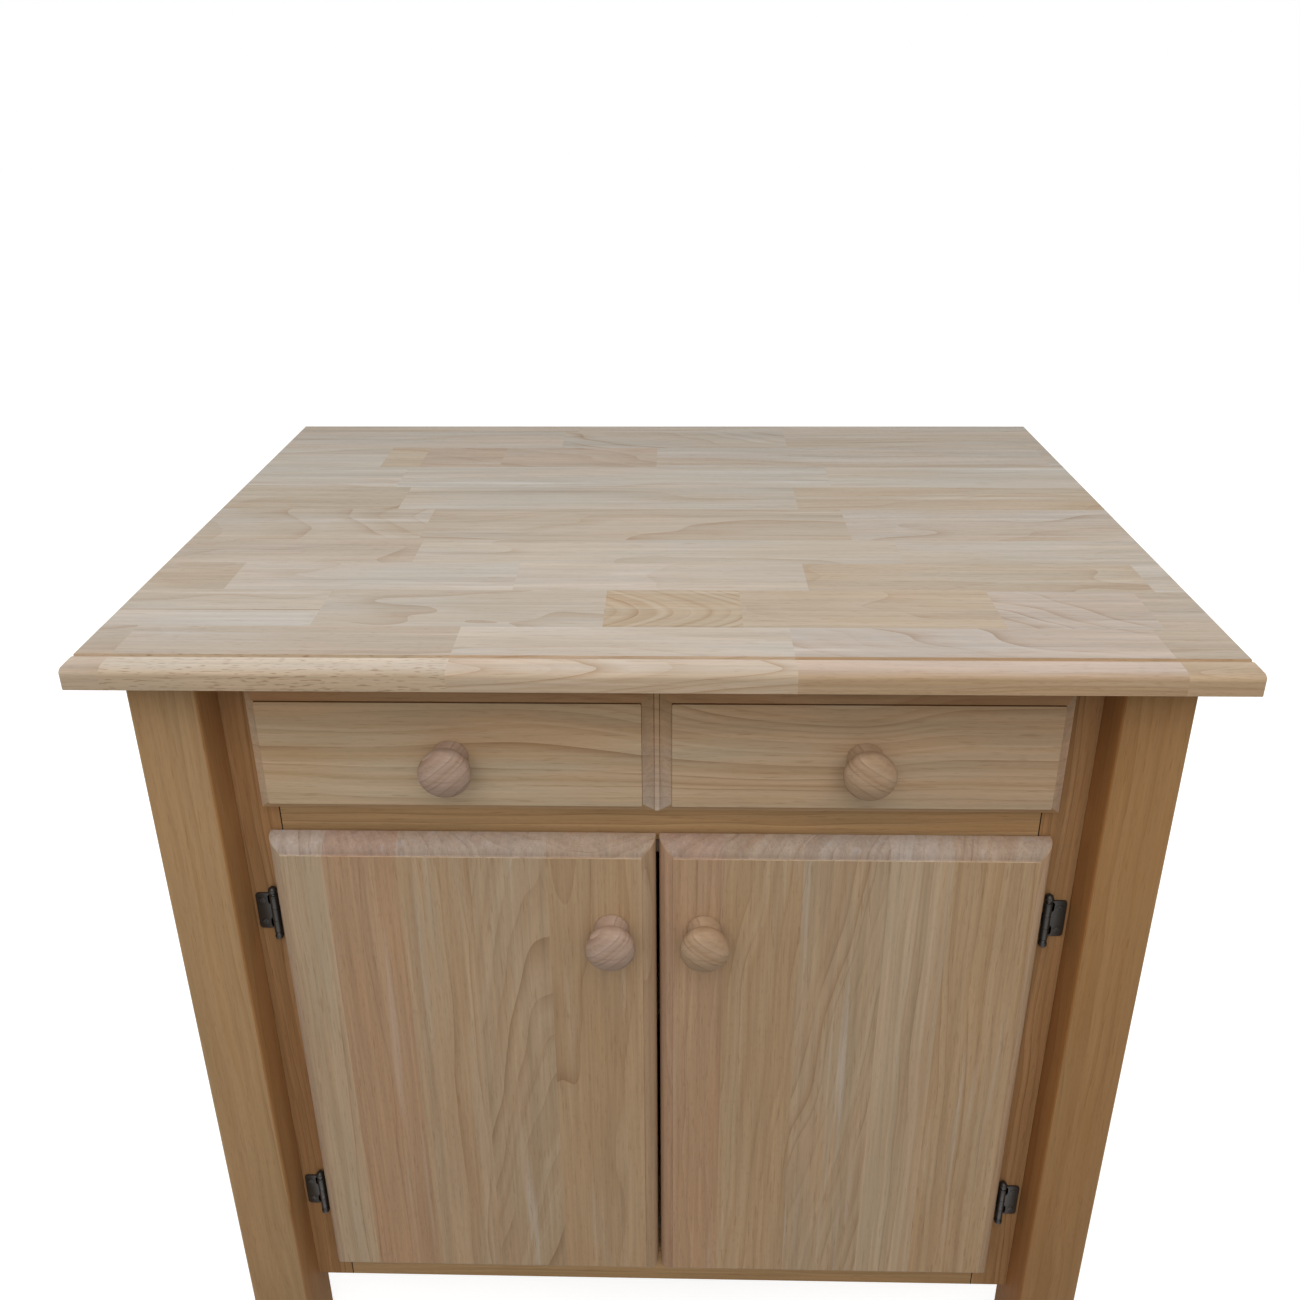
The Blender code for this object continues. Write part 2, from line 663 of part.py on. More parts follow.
def drawer_front(material, pivot):
    """The applied front: two raised fields with a bead standing in the valley between them."""
    low = DRAWER_SILL - OVERLAY
    high = DRAWER_TOP + OVERLAY
    reach = OPENING_X + OVERLAY
    bm = bmesh.new()
    block(bm, (-reach, DRAWER_FACE_Y, low), (reach, DRAWER_BACK_Y, high))
    made = add("drawer_front", bm, material, pivot)
    middle = BEAD_WIDTH / 2 + FIELD_BORDER + FIT
    for side in (-1, 1):
        xs = sorted((side * middle, side * (reach - FIELD_BORDER)))
        ring = bmesh.new()
        moulding(ring, *xs, low + FIELD_BORDER, high - FIELD_BORDER)
        cut(made, ring)
    crown = bmesh.new()
    slope = (FIELD_DROP - FIELD_STEP) / (FIELD_BORDER + FIT)
    wing = BEAD_WIDTH / 2 + (FIELD_DROP - BEAD_DROP) / slope
    outline = [(-wing, DRAWER_FACE_Y - FIT), (wing, DRAWER_FACE_Y - FIT),
               (wing, DRAWER_FACE_Y + BEAD_DROP - FIT), (0.0, DRAWER_FACE_Y + BEAD_DROP - 2 * FIT),
               (-wing, DRAWER_FACE_Y + BEAD_DROP - FIT)]
    prism(crown, "Z", outline, low - FIT, high + FIT)
    return cut(made, crown)


def knob_profile(face):
    """A turned knob as (radius, place): a foot, a hollow neck, then a head of two unlike half ellipses."""
    back = KNOB_WIDEST - (KNOB_REACH - KNOB_WIDEST)
    profile = [(0.0, face), (KNOB_FOOT_RADIUS, face)]
    profile += [(KNOB_FOOT_RADIUS, face - back / 5), (KNOB_NECK_RADIUS, face - back * 2 / 5)]
    profile.append((KNOB_NECK_RADIUS, face - back * 4 / 5))
    for along, down in arc(KNOB_RADIUS - KNOB_NECK_RADIUS, KNOB_WIDEST - back)[1:]:
        profile.append((KNOB_NECK_RADIUS + along, face - back - down))
    for along, down in arc(KNOB_RADIUS, KNOB_REACH - KNOB_WIDEST)[-2:0:-1]:
        profile.append((along, face - KNOB_REACH + down))
    profile.append((0.0, face - KNOB_REACH))
    return profile


def knob(name, place, material, pivot):
    """A turned wooden knob standing on a front."""
    bm = bmesh.new()
    turn(bm, "Y", Vector((place[0], 0.0, place[1])), knob_profile(place[2] - FIT), KNOB_FACETS)
    return add(name, bm, material, pivot, smooth=50)


def door(name, side, material, pivot):
    """A slab door with a rounded border and a small quirk at its field."""
    xs = sorted((side * DOOR_GAP / 2, side * DOOR_EDGE_X))
    sections = [(DOOR_BACK_Y, 0.0), (DOOR_BACK_Y - DOOR_EDGE, 0.0)]
    rise = FRONT_THICKNESS - DOOR_EDGE - DOOR_QUIRK
    for along, down in arc(rise, DOOR_ROUND_WIDTH)[1:]:
        sections.append((DOOR_BACK_Y - DOOR_EDGE - along, down))
    sections.append((DOOR_FACE_Y, DOOR_ROUND_WIDTH + FIT))
    bm = bmesh.new()
    loft(bm, "Y", [(y, xs[0] + inset, xs[1] - inset, DOOR_LOW + inset, DOOR_TOP - inset)
                   for y, inset in sections])
    return add(name, bm, material, pivot)


def hinge_heights():
    """Middle of the lower and the upper hinge."""
    return {"lower": DOOR_LOW + HINGE_INSET, "upper": DOOR_TOP - HINGE_INSET}


def knuckles(height, centre_only):
    """Ends of a leaf's knuckles: the middle one, or the two outer ones."""
    if centre_only:
        return ((height - KNUCKLE / 2, height + KNUCKLE / 2),)
    inner = KNUCKLE / 2 + KNUCKLE_GAP
    return ((height - inner - KNUCKLE, height - inner), (height + inner, height + inner + KNUCKLE))


def hinge_leaf(name, side, height, on_door, material, pivot=None):
    """A leaf: its plate, the tabs that reach the barrel, and its knuckles bored for the pin."""
    toward = -side if on_door else side
    clear = BARREL_RADIUS + BARREL_GAP
    width = DOOR_LEAF_WIDTH if on_door else WING_WIDTH
    back = DOOR_BACK_Y + FIT + LEAF_THICKNESS if on_door else -FRAME_OUT_Y - FIT
    plate = sorted((side * HINGE_X + toward * clear, side * HINGE_X + toward * (clear + width)))
    half = LEAF_HEIGHT / 2
    corner = LEAF_THICKNESS * 2
    outline = [(plate[0], height - half + corner), (plate[0] + corner, height - half),
               (plate[1] - corner, height - half), (plate[1], height - half + corner),
               (plate[1], height + half - corner), (plate[1] - corner, height + half),
               (plate[0] + corner, height + half), (plate[0], height + half - corner)]
    bm = bmesh.new()
    prism(bm, "Y", outline, back - LEAF_THICKNESS, back)
    made = add(name, bm, material, pivot)
    centre = Vector((side * HINGE_X, HINGE_Y, 0.0))
    tab = sorted((side * HINGE_X, side * HINGE_X + toward * (clear + LEAF_THICKNESS)))
    bore = bmesh.new()
    rod(bore, "Z", centre, BARREL_BORE, height - half, height + half)
    for low, high in knuckles(height, on_door):
        reach = bmesh.new()
        block(reach, (tab[0], back - LEAF_THICKNESS + FIT, low + FIT), (tab[1], back - FIT, high - FIT))
        combine(made, reach, "UNION")
        barrel = bmesh.new()
        rod(barrel, "Z", centre, BARREL_RADIUS, low, high)
        combine(made, barrel, "UNION")
    return cut(made, bore)


def hinge_pin(name, side, height, material):
    """A hinge pin with a turned ball finial at each end."""
    barrel = 1.5 * KNUCKLE + KNUCKLE_GAP + FIT
    collar = FINIAL_LENGTH - 2 * FINIAL_RADIUS
    upper = [(PIN_RADIUS, barrel), (FINIAL_RADIUS * 0.9, barrel), (FINIAL_RADIUS * 0.9, barrel + collar / 2)]
    upper.append((PIN_RADIUS, barrel + collar))
    for step in range(2, 8):
        angle = math.pi * step / 8
        ball = barrel + collar + FINIAL_RADIUS * (1 - math.cos(angle))
        upper.append((FINIAL_RADIUS * math.sin(angle), ball))
    upper.append((0.0, barrel + FINIAL_LENGTH))
    profile = [(r, height - t) for r, t in upper[::-1]] + [(r, height + t) for r, t in upper]
    bm = bmesh.new()
    turn(bm, "Z", Vector((side * HINGE_X, HINGE_Y, 0.0)), profile, SMALL_FACETS)
    return add(name, bm, material, smooth=40)


def door_catch(material):
    """A double magnetic catch with two ears, under the middle rail."""
    top = DOOR_HEAD - FIT
    front = DOOR_BACK_Y + 3 * FIT + STRIKE_THICKNESS
    half = CATCH_LENGTH / 2
    ear = half + CATCH_EAR
    outline = [(-ear, top), (-ear, top - CATCH_EAR_THICKNESS), (-half, top - CATCH_EAR_THICKNESS),
               (-half, top - CATCH_HEIGHT), (half, top - CATCH_HEIGHT), (half, top - CATCH_EAR_THICKNESS),
               (ear, top - CATCH_EAR_THICKNESS), (ear, top)]
    bm = bmesh.new()
    prism(bm, "Y", outline, front, front + CATCH_DEPTH)
    return add("door_catch", bm, material)


def strike_plate(name, side, material, pivot):
    """The steel plate on a door that the catch holds."""
    middle = side * CATCH_LENGTH / 4
    height = DOOR_HEAD - FIT - CATCH_HEIGHT / 2
    front = DOOR_BACK_Y + FIT
    bm = bmesh.new()
    block(bm, (middle - STRIKE_LENGTH / 2, front, height - STRIKE_HEIGHT / 2),
          (middle + STRIKE_LENGTH / 2, front + STRIKE_THICKNESS, height + STRIKE_HEIGHT / 2))
    return add(name, bm, material, pivot)


def build_carcass(looks):
    """Everything that stands still."""
    worktop(looks["worktop_wood"])
    apron = (APRON_LOW, CARCASS_TOP)
    lower_rail = (CABINET_LIFT, DOOR_SILL)
    rail_wood = looks["leg_wood"]
    for side_name, side in (("left", -1), ("right", 1)):
        for end_name, end in (("front", -1), ("back", 1)):
            leg(f"leg_{end_name}_{side_name}", side, end, looks["leg_wood"])
            glide(f"glide_{end_name}_{side_name}", side, end, looks["pale_plastic"])
            shelf_peg(f"shelf_peg_{end_name}_{side_name}", side, end, looks["steel"])
        stile(f"frame_stile_{side_name}", side, looks["frame_wood"])
        inner = side * FRAME_IN_X
        framed_rail(f"side_apron_{side_name}", "Y", inner, LEG_IN_Y, apron, False, rail_wood)
        framed_rail(f"side_lower_rail_{side_name}", "Y", inner, LEG_IN_Y, lower_rail, True, rail_wood)
        side_panel(f"side_panel_{side_name}", side, looks["frame_wood"])
        floor_cleat(f"floor_cleat_{side_name}", side, looks["inside_wood"])
        drawer_runner(f"drawer_runner_{side_name}", side, looks["inside_wood"])
        for level, height in hinge_heights().items():
            hinge_leaf(f"hinge_wing_{side_name}_{level}", side, height, False, looks["hinge_black"])
            hinge_pin(f"hinge_pin_{side_name}_{level}", side, height, looks["hinge_black"])
    for name, span in zip(("frame_top_rail", "frame_middle_rail", "frame_bottom_rail"), rail_spans()):
        front_rail(name, span, looks["frame_wood"])
    framed_rail("back_apron", "X", FRAME_IN_Y, LEG_IN_X, apron, False, rail_wood)
    framed_rail("back_lower_rail", "X", FRAME_IN_Y, LEG_IN_X, lower_rail, True, rail_wood)
    back_panel(looks["inside_wood"])
    cabinet_floor(looks["inside_wood"])
    shelf(looks["inside_wood"])
    door_catch(looks["brown_plastic"])


def build_drawer(looks):
    """The drawer, on an empty that lies on its line of travel."""
    pivot = axis_empty("drawer_slide_axis", (0.0, DRAWER_FACE_Y, (DRAWER_SILL + DRAWER_TOP) / 2))
    drawer_front(looks["front_wood"], pivot)
    drawer_end("drawer_box_front", True, looks["inside_wood"], pivot)
    drawer_end("drawer_box_back", False, looks["inside_wood"], pivot)
    drawer_bottom(looks["inside_wood"], pivot)
    field_middle = (BEAD_WIDTH / 2 + FIT + OPENING_X + OVERLAY) / 2
    for side_name, side in (("left", -1), ("right", 1)):
        drawer_side(f"drawer_side_{side_name}", side, looks["inside_wood"], pivot)
        place = (side * field_middle, (DRAWER_SILL + DRAWER_TOP) / 2, DRAWER_FACE_Y)
        knob(f"drawer_knob_{side_name}", place, looks["knob_wood"], pivot)


def build_doors(looks):
    """The two doors, each on an empty that lies on its hinge axis."""
    for side_name, side in (("left", -1), ("right", 1)):
        pivot = axis_empty(f"door_axis_{side_name}", (side * HINGE_X, HINGE_Y, DOOR_LOW))
        door(f"door_{side_name}", side, looks["front_wood"], pivot)
        place = (side * (DOOR_GAP / 2 + DOOR_KNOB_INSET), DOOR_TOP - DOOR_KNOB_DROP, DOOR_FACE_Y)
        knob(f"door_knob_{side_name}", place, looks["knob_wood"], pivot)
        strike_plate(f"strike_plate_{side_name}", side, looks["steel"], pivot)
        for level, height in hinge_heights().items():
            name = f"hinge_door_leaf_{side_name}_{level}"
            hinge_leaf(name, side, height, True, looks["hinge_black"], pivot)


def main():
    clear_scene()
    looks = finishes()
    build_carcass(looks)
    build_drawer(looks)
    build_doors(looks)


main()
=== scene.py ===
"""Looks of the kitchen island: pale solid wood, moulded fronts, turned knobs and black hinges.

Metres, in the frame's axes: +X to the right, +Y to the back, +Z up, with the front towards -Y.
"""
import math

import bpy
import numpy as np
from mathutils import Matrix, Vector


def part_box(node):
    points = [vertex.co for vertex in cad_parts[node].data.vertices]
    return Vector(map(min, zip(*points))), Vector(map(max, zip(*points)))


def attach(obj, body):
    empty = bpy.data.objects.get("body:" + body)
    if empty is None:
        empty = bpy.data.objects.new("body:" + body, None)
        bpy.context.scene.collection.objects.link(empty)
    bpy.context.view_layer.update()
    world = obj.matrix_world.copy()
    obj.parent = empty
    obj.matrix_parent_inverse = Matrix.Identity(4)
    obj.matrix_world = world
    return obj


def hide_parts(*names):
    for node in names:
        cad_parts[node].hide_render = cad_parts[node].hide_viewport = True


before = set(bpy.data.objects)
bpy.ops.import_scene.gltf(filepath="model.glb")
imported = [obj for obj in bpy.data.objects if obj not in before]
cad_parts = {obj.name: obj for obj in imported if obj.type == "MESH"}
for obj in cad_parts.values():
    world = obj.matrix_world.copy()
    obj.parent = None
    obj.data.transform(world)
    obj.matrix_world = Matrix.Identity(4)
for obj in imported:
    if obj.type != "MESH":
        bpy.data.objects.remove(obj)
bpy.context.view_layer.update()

# Worktop
NOSE_WIDTH = 0.0228
NOSE_ROUND = 0.0080
NOSE_ROUND_DOWN = 0.0060
NOSE_EASE = 0.0010
LEDGE_BREAKS = (0.0035, 0.0080)
QUIRK_WIDTH = 0.0046
QUIRK_DEPTH = 0.0022
TOP_EASE = 0.0008

# Drawer front
FIELD_BORDER = 0.0098
FIELD_STEP = 0.0018
FIELD_DROP = 0.0085
FIELD_CORNER = 0.0015
BEAD_WIDTH = 0.0054
BEAD_DROP = 0.0072
BEAD_POINTS = 9
BEAD_CROWN = 0.75
FRONT_EASE = 0.0006

# Doors
DOOR_EDGE = 0.0030
DOOR_ROUND_WIDTH = 0.0120
DOOR_QUIRK = 0.0020
DOOR_EASE = 0.0008
DOOR_ARRIS = 0.0005

# Legs and knobs
LEG_ROUND = 0.0030
KNOB_NECK_RADIUS = 0.0145
KNOB_FOOT_RADIUS = 0.0155
KNOB_FOOT_EASE = 0.0012
KNOB_WIDEST = 0.0245
KNOB_NECK_SHARE = 0.95
KNOB_NECK_STEPS = 7

# Hinges; a collar's radii are shares of the ball's, its heights of the neck, and knuckles run from the middle
PIN_RADIUS = 0.0018
FINIAL_RADIUS = 0.0040
FINIAL_LENGTH = 0.0100
FINIAL_START = 0.22
FINIAL_STEPS = 11
COLLAR_WIDEST = 0.9
COLLAR_RADIUS = 0.6
COLLAR_ROUND = 0.3
COLLAR_TOP = 0.7
COLLAR_RISE = 1 / 3
BARREL_RADIUS = 0.0036
BARREL_GAP = 0.0005
KNUCKLE = 0.0130
KNUCKLE_GAP = 0.0004
KNUCKLE_EASE = 0.0003
DOOR_KNUCKLES = ((-0.5, 0.5),)
WING_KNUCKLES = ((-1.5, -0.5), (0.5, 1.5))
LEAF_THICKNESS = 0.0016
LEAF_CORNER = 0.0032
LEAF_EASE = 0.0003
LEAF_GAP = 0.0003

# Pegs and glides
PEG_RADIUS = 0.0025
PEG_COLLAR_RADIUS = 0.0040
PEG_COLLAR = 0.0015
PEG_DEPTH = 0.0090
GLIDE_RADIUS = 0.0125
GLIDE_HEIGHT = 0.0057
GLIDE_RIM = (0.96, 0.90)
GLIDE_NAIL_RADIUS = 0.0015

# Screws: the radius and the dome of each kind of head, and where they sit
WING_SCREW = (0.0030, 0.0007)
LEAF_SCREW = (0.0030, 0.00025)
STRIKE_SCREW = (0.0028, 0.00025)
CATCH_SCREW = (0.0032, 0.0012)
KNOB_SCREW = (0.0045, 0.0018)
BOX_SCREW = (0.0038, 0.0014)
LEAF_SCREW_SPREAD = 0.0125
WING_SCREW_INSET = 0.0060
LEAF_SCREW_INSET = 0.0080
CATCH_EAR = 0.0090
CATCH_EAR_THICKNESS = 0.0030
BOX_STOCK = 0.0127
BOX_SCREW_SPREAD = 0.0900

# Fineness of round shapes, the lean that lets a step's wall be shaded by itself, and the grid of a weld
ARC_STEPS = 10
EASE_STEPS = 3
SOFT_STEPS = 4
CORNER_STEPS = 5
DOME_STEPS = 5
GLIDE_STEPS = 8
TURNED_STEPS = 56
KNUCKLE_STEPS = 40
SMALL_STEPS = 28
SCREW_STEPS = 48
RISER = 0.0003
WELD = 1e-5

# The sharpest turn that is shaded as smooth, in degrees
DRAWER_CREASE = 20.0
DOOR_CREASE = 24.0
LEG_CREASE = 30.0
BOARD_CREASE = 32.0
HINGE_CREASE = 35.0
SCREW_CREASE = 38.0
SMALL_CREASE = 40.0
KNOB_CREASE = 60.0


# Surfaces

def arc(along, down, steps=ARC_STEPS):
    """A quarter ellipse as (steps + 1, 2): along times sine, and down times one less cosine."""
    turn = np.linspace(0.0, math.pi / 2, steps + 1)
    return np.stack([along * np.sin(turn), down * (1.0 - np.cos(turn))], axis=1)


def outward(points, faces):
    """The faces, turned round if the volume that they enclose, summed as a fan of each face, is negative."""
    sizes = np.array([len(face) for face in faces])
    corners = np.concatenate(faces)
    ends = np.cumsum(sizes)
    follow = np.arange(len(corners)) + 1
    follow[ends - 1] = ends - sizes
    firsts = points[corners[np.repeat(ends - sizes, sizes)]]
    volume = np.sum(firsts * np.cross(points[corners], points[corners[follow]]))
    return faces if volume > 0.0 else [face[::-1] for face in faces]


def piece(name, points, faces, body, material, crease, stands_for=()):
    """A closed skin from its points and faces, smooth but for edges sharper than the crease, on a body."""
    mesh = bpy.data.meshes.new(name)
    mesh.from_pydata(points.tolist(), [], outward(points, faces))
    mesh.shade_smooth()
    mesh.set_sharp_from_angle(angle=math.radians(crease))
    mesh.materials.append(material)
    made = bpy.data.objects.new(name, mesh)
    bpy.context.scene.collection.objects.link(made)
    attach(made, body)
    if stands_for:
        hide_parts(*stands_for)
    return made


def box_of(node):
    """A node's lowest and highest corners, as arrays."""
    low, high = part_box(node)
    return np.array(low), np.array(high)


def middle_of(node):
    """The middle of a node's box."""
    low, high = box_of(node)
    return (low + high) / 2


def gathered(shells):
    """Several shells of (points, faces) as one."""
    points = np.concatenate([shell[0] for shell in shells])
    starts = np.cumsum([0] + [len(shell[0]) for shell in shells])
    faces = []
    for start, (_, more) in zip(starts, shells):
        faces += [[int(start) + corner for corner in face] for face in more]
    return points, faces


def welded(points, faces):
    """The same faces on points merged where they round to the same place on a fine grid."""
    grid = np.round(points / WELD).astype(np.int64)
    _, first, merged = np.unique(grid, axis=0, return_index=True, return_inverse=True)
    merged = merged.ravel()
    kept = []
    for face in faces:
        corners = merged[face].tolist()
        corners = [corner for place, corner in enumerate(corners) if corner != corners[place - 1]]
        if len(corners) > 2:
            kept.append(corners)
    return points[first], kept


def bands(rings, count):
    """The quads between neighbouring rings of count points each."""
    ring, place = np.meshgrid(np.arange(rings - 1), np.arange(count), indexing="ij")
    here = ring * count + place
    beside = ring * count + (place + 1) % count
    quads = np.stack([here, beside, beside + count, here + count], axis=-1)
    return quads.reshape(-1, 4).tolist()


def rounded_ring(low, high, radius, breaks=()):
    """A rectangle with quarter-round corners, anticlockwise from its lower left.

    Its lower and upper sides hold a point at each break, so that every ring of one piece has as many points.
    """
    turn = np.linspace(0.0, math.pi / 2, CORNER_STEPS + 1)
    quarter = np.stack([np.cos(turn), np.sin(turn)], axis=1) * radius
    inner_low = np.asarray(low) + radius
    inner_high = np.asarray(high) - radius
    lower = [(place, low[1]) for place in breaks]
    upper = [(place, high[1]) for place in breaks[::-1]]
    corners = [inner_low - quarter, np.array([inner_high[0], inner_low[1]]) + quarter[::-1] * (1, -1),
               inner_high + quarter, np.array([inner_low[0], inner_high[1]]) + quarter[::-1] * (-1, 1)]
    return np.concatenate([corners[0], np.reshape(lower, (-1, 2)), corners[1], corners[2],
                           np.reshape(upper, (-1, 2)), corners[3]])


def ring_strips(start, breaks):
    """The flat faces that fill a rounded ring, one between each pair of breaks."""
    corner = CORNER_STEPS + 1
    count = 4 * corner + 2 * breaks
    ring = np.arange(count)
    if not breaks:
        return [(start + ring).tolist()]
    lower = corner + np.arange(breaks)
    upper = 3 * corner + 2 * breaks - 1 - np.arange(breaks)
    strips = [np.concatenate([ring[upper[0]:], ring[:lower[0] + 1]])]
    for left in range(breaks - 1):
        strips.append(np.array([lower[left], lower[left + 1], upper[left + 1], upper[left]]))
    strips.append(ring[lower[-1]:upper[-1] + 1])
    return [(start + strip).tolist() for strip in strips]


def upright(ring, depth):
    """A flat ring of (x, z), stood up at a depth along Y."""
    return np.column_stack([ring[:, 0], np.full(len(ring), depth), ring[:, 1]])


def upright_ring(low, high, inset, depth, radius, breaks=()):
    """A rounded ring in X and Z that lies inside a box's outline by an inset, at a depth along Y."""
    ring = rounded_ring((low[0] + inset, low[2] + inset), (high[0] - inset, high[2] - inset), radius, breaks)
    return upright(ring, depth)


def stacked(rings, breaks=0):
    """Rounded rings one after another as a closed shell, with flat faces that fill its two ends."""
    count = len(rings[0])
    faces = bands(len(rings), count) + ring_strips((len(rings) - 1) * count, breaks)
    faces += [strip[::-1] for strip in ring_strips(0, breaks)]
    return np.concatenate(rings), faces


def eased_steps(ease, low, high, steps):
    """The inset and the place of rings from low to high, drawn in by a quarter round at both ends."""
    ends = arc(ease, ease, steps)
    first = [(ease - along, low + down) for along, down in ends]
    return first + [(ease - along, high - down) for along, down in ends[::-1]]


# Which of (along, across, beside) is X, Y and Z, for each axis of turning
AXIS_ORDER = {"X": (0, 1, 2), "Y": (2, 0, 1), "Z": (1, 2, 0)}


def spun(radius, height, angle):
    """Rings of points, and a pole at each end, from grids of radius and height (rings by angles).

    The first and last rows are the poles. Points come as (along, across, beside) and close round the angle.
    """
    steps = len(angle)
    across = radius[1:-1] * np.cos(angle)
    beside = radius[1:-1] * np.sin(angle)
    points = np.stack([height[1:-1].ravel(), across.ravel(), beside.ravel()], axis=1)
    poles = np.array([[height[0, 0], 0.0, 0.0], [height[-1, 0], 0.0, 0.0]])
    rings = len(radius) - 2
    faces = bands(rings, steps)
    place = np.arange(steps)
    after = (place + 1) % steps
    last = (rings - 1) * steps
    first_pole = rings * steps
    faces += np.stack([after, place, np.full(steps, first_pole)], axis=1).tolist()
    faces += np.stack([last + place, last + after, np.full(steps, first_pole + 1)], axis=1).tolist()
    return np.concatenate([points, poles]), faces


def turned(profile, axis, centre, steps=TURNED_STEPS):
    """A profile of (radius, place) turned about a line along an axis, from a pole to a pole."""
    profile = np.asarray(profile)
    angle = np.linspace(0.0, 2 * math.pi, steps, endpoint=False)
    radius = np.repeat(profile[:, :1], steps, axis=1)
    height = np.repeat(profile[:, 1:], steps, axis=1)
    points, faces = spun(radius, height, angle)
    return points[:, AXIS_ORDER[axis]] + np.asarray(centre), faces


# Shader nodes

def put(tree, kind, inputs=None, **settings):
    """A node with its settings and inputs; an input is a number, a colour or another node's output."""
    made = tree.nodes.new(kind)
    for key, value in settings.items():
        setattr(made, key, value)
    for key, value in (inputs or {}).items():
        if isinstance(value, bpy.types.NodeSocket):
            tree.links.new(value, made.inputs[key])
        else:
            made.inputs[key].default_value = value
    return made


def maths(tree, operation, *values):
    """The output of a Math node on up to three values."""
    return put(tree, "ShaderNodeMath", dict(enumerate(values)), operation=operation).outputs[0]


def vectors(tree, operation, first, second=(0.0, 0.0, 0.0)):
    """The output of a Vector Math node on two values."""
    return put(tree, "ShaderNodeVectorMath", {0: first, 1: second}, operation=operation).outputs[0]


def mix(tree, share, first, second, kind="MIX"):
    """The output of a colour Mix node."""
    inputs = {0: share, 6: first, 7: second}
    return put(tree, "ShaderNodeMix", inputs, data_type="RGBA", blend_type=kind).outputs[2]


def span(tree, value, low, high, shape="LINEAR"):
    """A value's share of the way from low to high, kept from 0 to 1."""
    inputs = {"Value": value, "From Min": low, "From Max": high}
    return put(tree, "ShaderNodeMapRange", inputs, interpolation_type=shape).outputs[0]


def streaks(tree, place, scale, detail=1.0, roughness=0.5):
    """Noise on coordinates stretched by a scale along and across the grain."""
    inputs = {"Vector": vectors(tree, "MULTIPLY", place, scale), "Scale": 1.0, "Detail": detail,
              "Roughness": roughness}
    return put(tree, "ShaderNodeTexNoise", inputs, noise_dimensions="3D").outputs["Fac"]


def banded(tree, value, detail=1.0):
    """Noise along a single number."""
    inputs = {"W": value, "Scale": 1.0, "Detail": detail}
    return put(tree, "ShaderNodeTexNoise", inputs, noise_dimensions="1D").outputs["Fac"]


def plain_material(name, colour, roughness, metallic=0.0, specular=0.5):
    """A Principled material and its tree and shader."""
    made = bpy.data.materials.new(name)
    made.use_nodes = True
    shader = made.node_tree.nodes["Principled BSDF"]
    shader.inputs["Base Color"].default_value = (*colour, 1.0)
    shader.inputs["Roughness"].default_value = roughness
    shader.inputs["Metallic"].default_value = metallic
    shader.inputs["Specular IOR Level"].default_value = specular
    return made, made.node_tree, shader


# Wood

TURN_GRAIN = {"X": (0.0, 0.0, 0.0), "Y": (0.0, 0.0, -math.pi / 2), "Z": (0.0, math.pi / 2, 0.0)}
WORKTOP_TONES = ((0.500, 0.428, 0.352), (0.440, 0.358, 0.272), (0.330, 0.225, 0.140))
DRAWER_TONES = ((0.570, 0.428, 0.280), (0.478, 0.332, 0.196), (0.300, 0.172, 0.084))
DOOR_TONES = ((0.555, 0.407, 0.264), (0.474, 0.321, 0.192), (0.280, 0.158, 0.078))
LEG_TONES = ((0.530, 0.352, 0.192), (0.450, 0.278, 0.136), (0.300, 0.158, 0.064))
RIGHT_LEG_TONES = ((0.456, 0.269, 0.126), (0.382, 0.211, 0.088), (0.256, 0.122, 0.043))
RAIL_TONES = ((0.555, 0.367, 0.193), (0.453, 0.277, 0.132), (0.265, 0.132, 0.053))
# The top rail's and the stiles' tones are darker than the rails': painted shade beneath the worktop's nose
# and where the stiles sit recessed beside the legs
SHADED_TOP_RAIL_TONES = ((0.533, 0.316, 0.149), (0.435, 0.238, 0.102), (0.254, 0.114, 0.041))
SHADED_STILE_TONES = ((0.475, 0.280, 0.136), (0.384, 0.209, 0.092), (0.212, 0.096, 0.037))
KNOB_TONES = ((0.492, 0.363, 0.292), (0.425, 0.298, 0.224), (0.256, 0.152, 0.097))
RIGHT_KNOB_TONES = ((0.495, 0.353, 0.238), (0.420, 0.283, 0.177), (0.254, 0.144, 0.078))
INSIDE_TONES = ((0.565, 0.430, 0.280), (0.500, 0.362, 0.220), (0.365, 0.235, 0.122))
PORE = (0.180, 0.090, 0.045, 1.0)
WISP = (0.660, 0.615, 0.560, 1.0)
FLECK_SHARE = 0.32
DRIFT_WARM = (1.045, 0.983, 0.930, 1.0)
DRIFT_COOL = (0.967, 1.010, 1.050, 1.0)
STAVE_SPREAD = (2.0, 0.16, 0.16)
STAVE_DARK = (0.94, 0.91, 0.88, 1.0)
STAVE_LIGHT = (1.06, 1.07, 1.08, 1.0)
BEND_FLOOR = 0.755
BEND_CEILING = 0.835

# The wood's noises: their waves to a metre along the grain and across it, and the spans cut from them
WOBBLE_SCALE = (3.2, 12.0, 12.0)
BREAK_SCALE = (5.0, 60.0, 60.0)
BLOTCH_SCALE = (3.0, 18.0, 18.0)
FIBRE_SCALE = (7.0, 380.0, 380.0)
STRAND_SCALE = (2.5, 110.0, 110.0)
PORE_SCALE = (120.0, 1150.0, 1150.0)
FLECK_SCALE = (38.0, 640.0, 640.0)
WISP_SCALE = (3.0, 105.0, 105.0)
DRIFT_SCALE = (5.0, 32.0, 32.0)
BREAK_SPAN = (0.25, 0.60)
SPECK_SPAN = (0.62, 0.74)
WISP_SPAN = (0.62, 0.76)
DRIFT_SPAN = (0.36, 0.64)

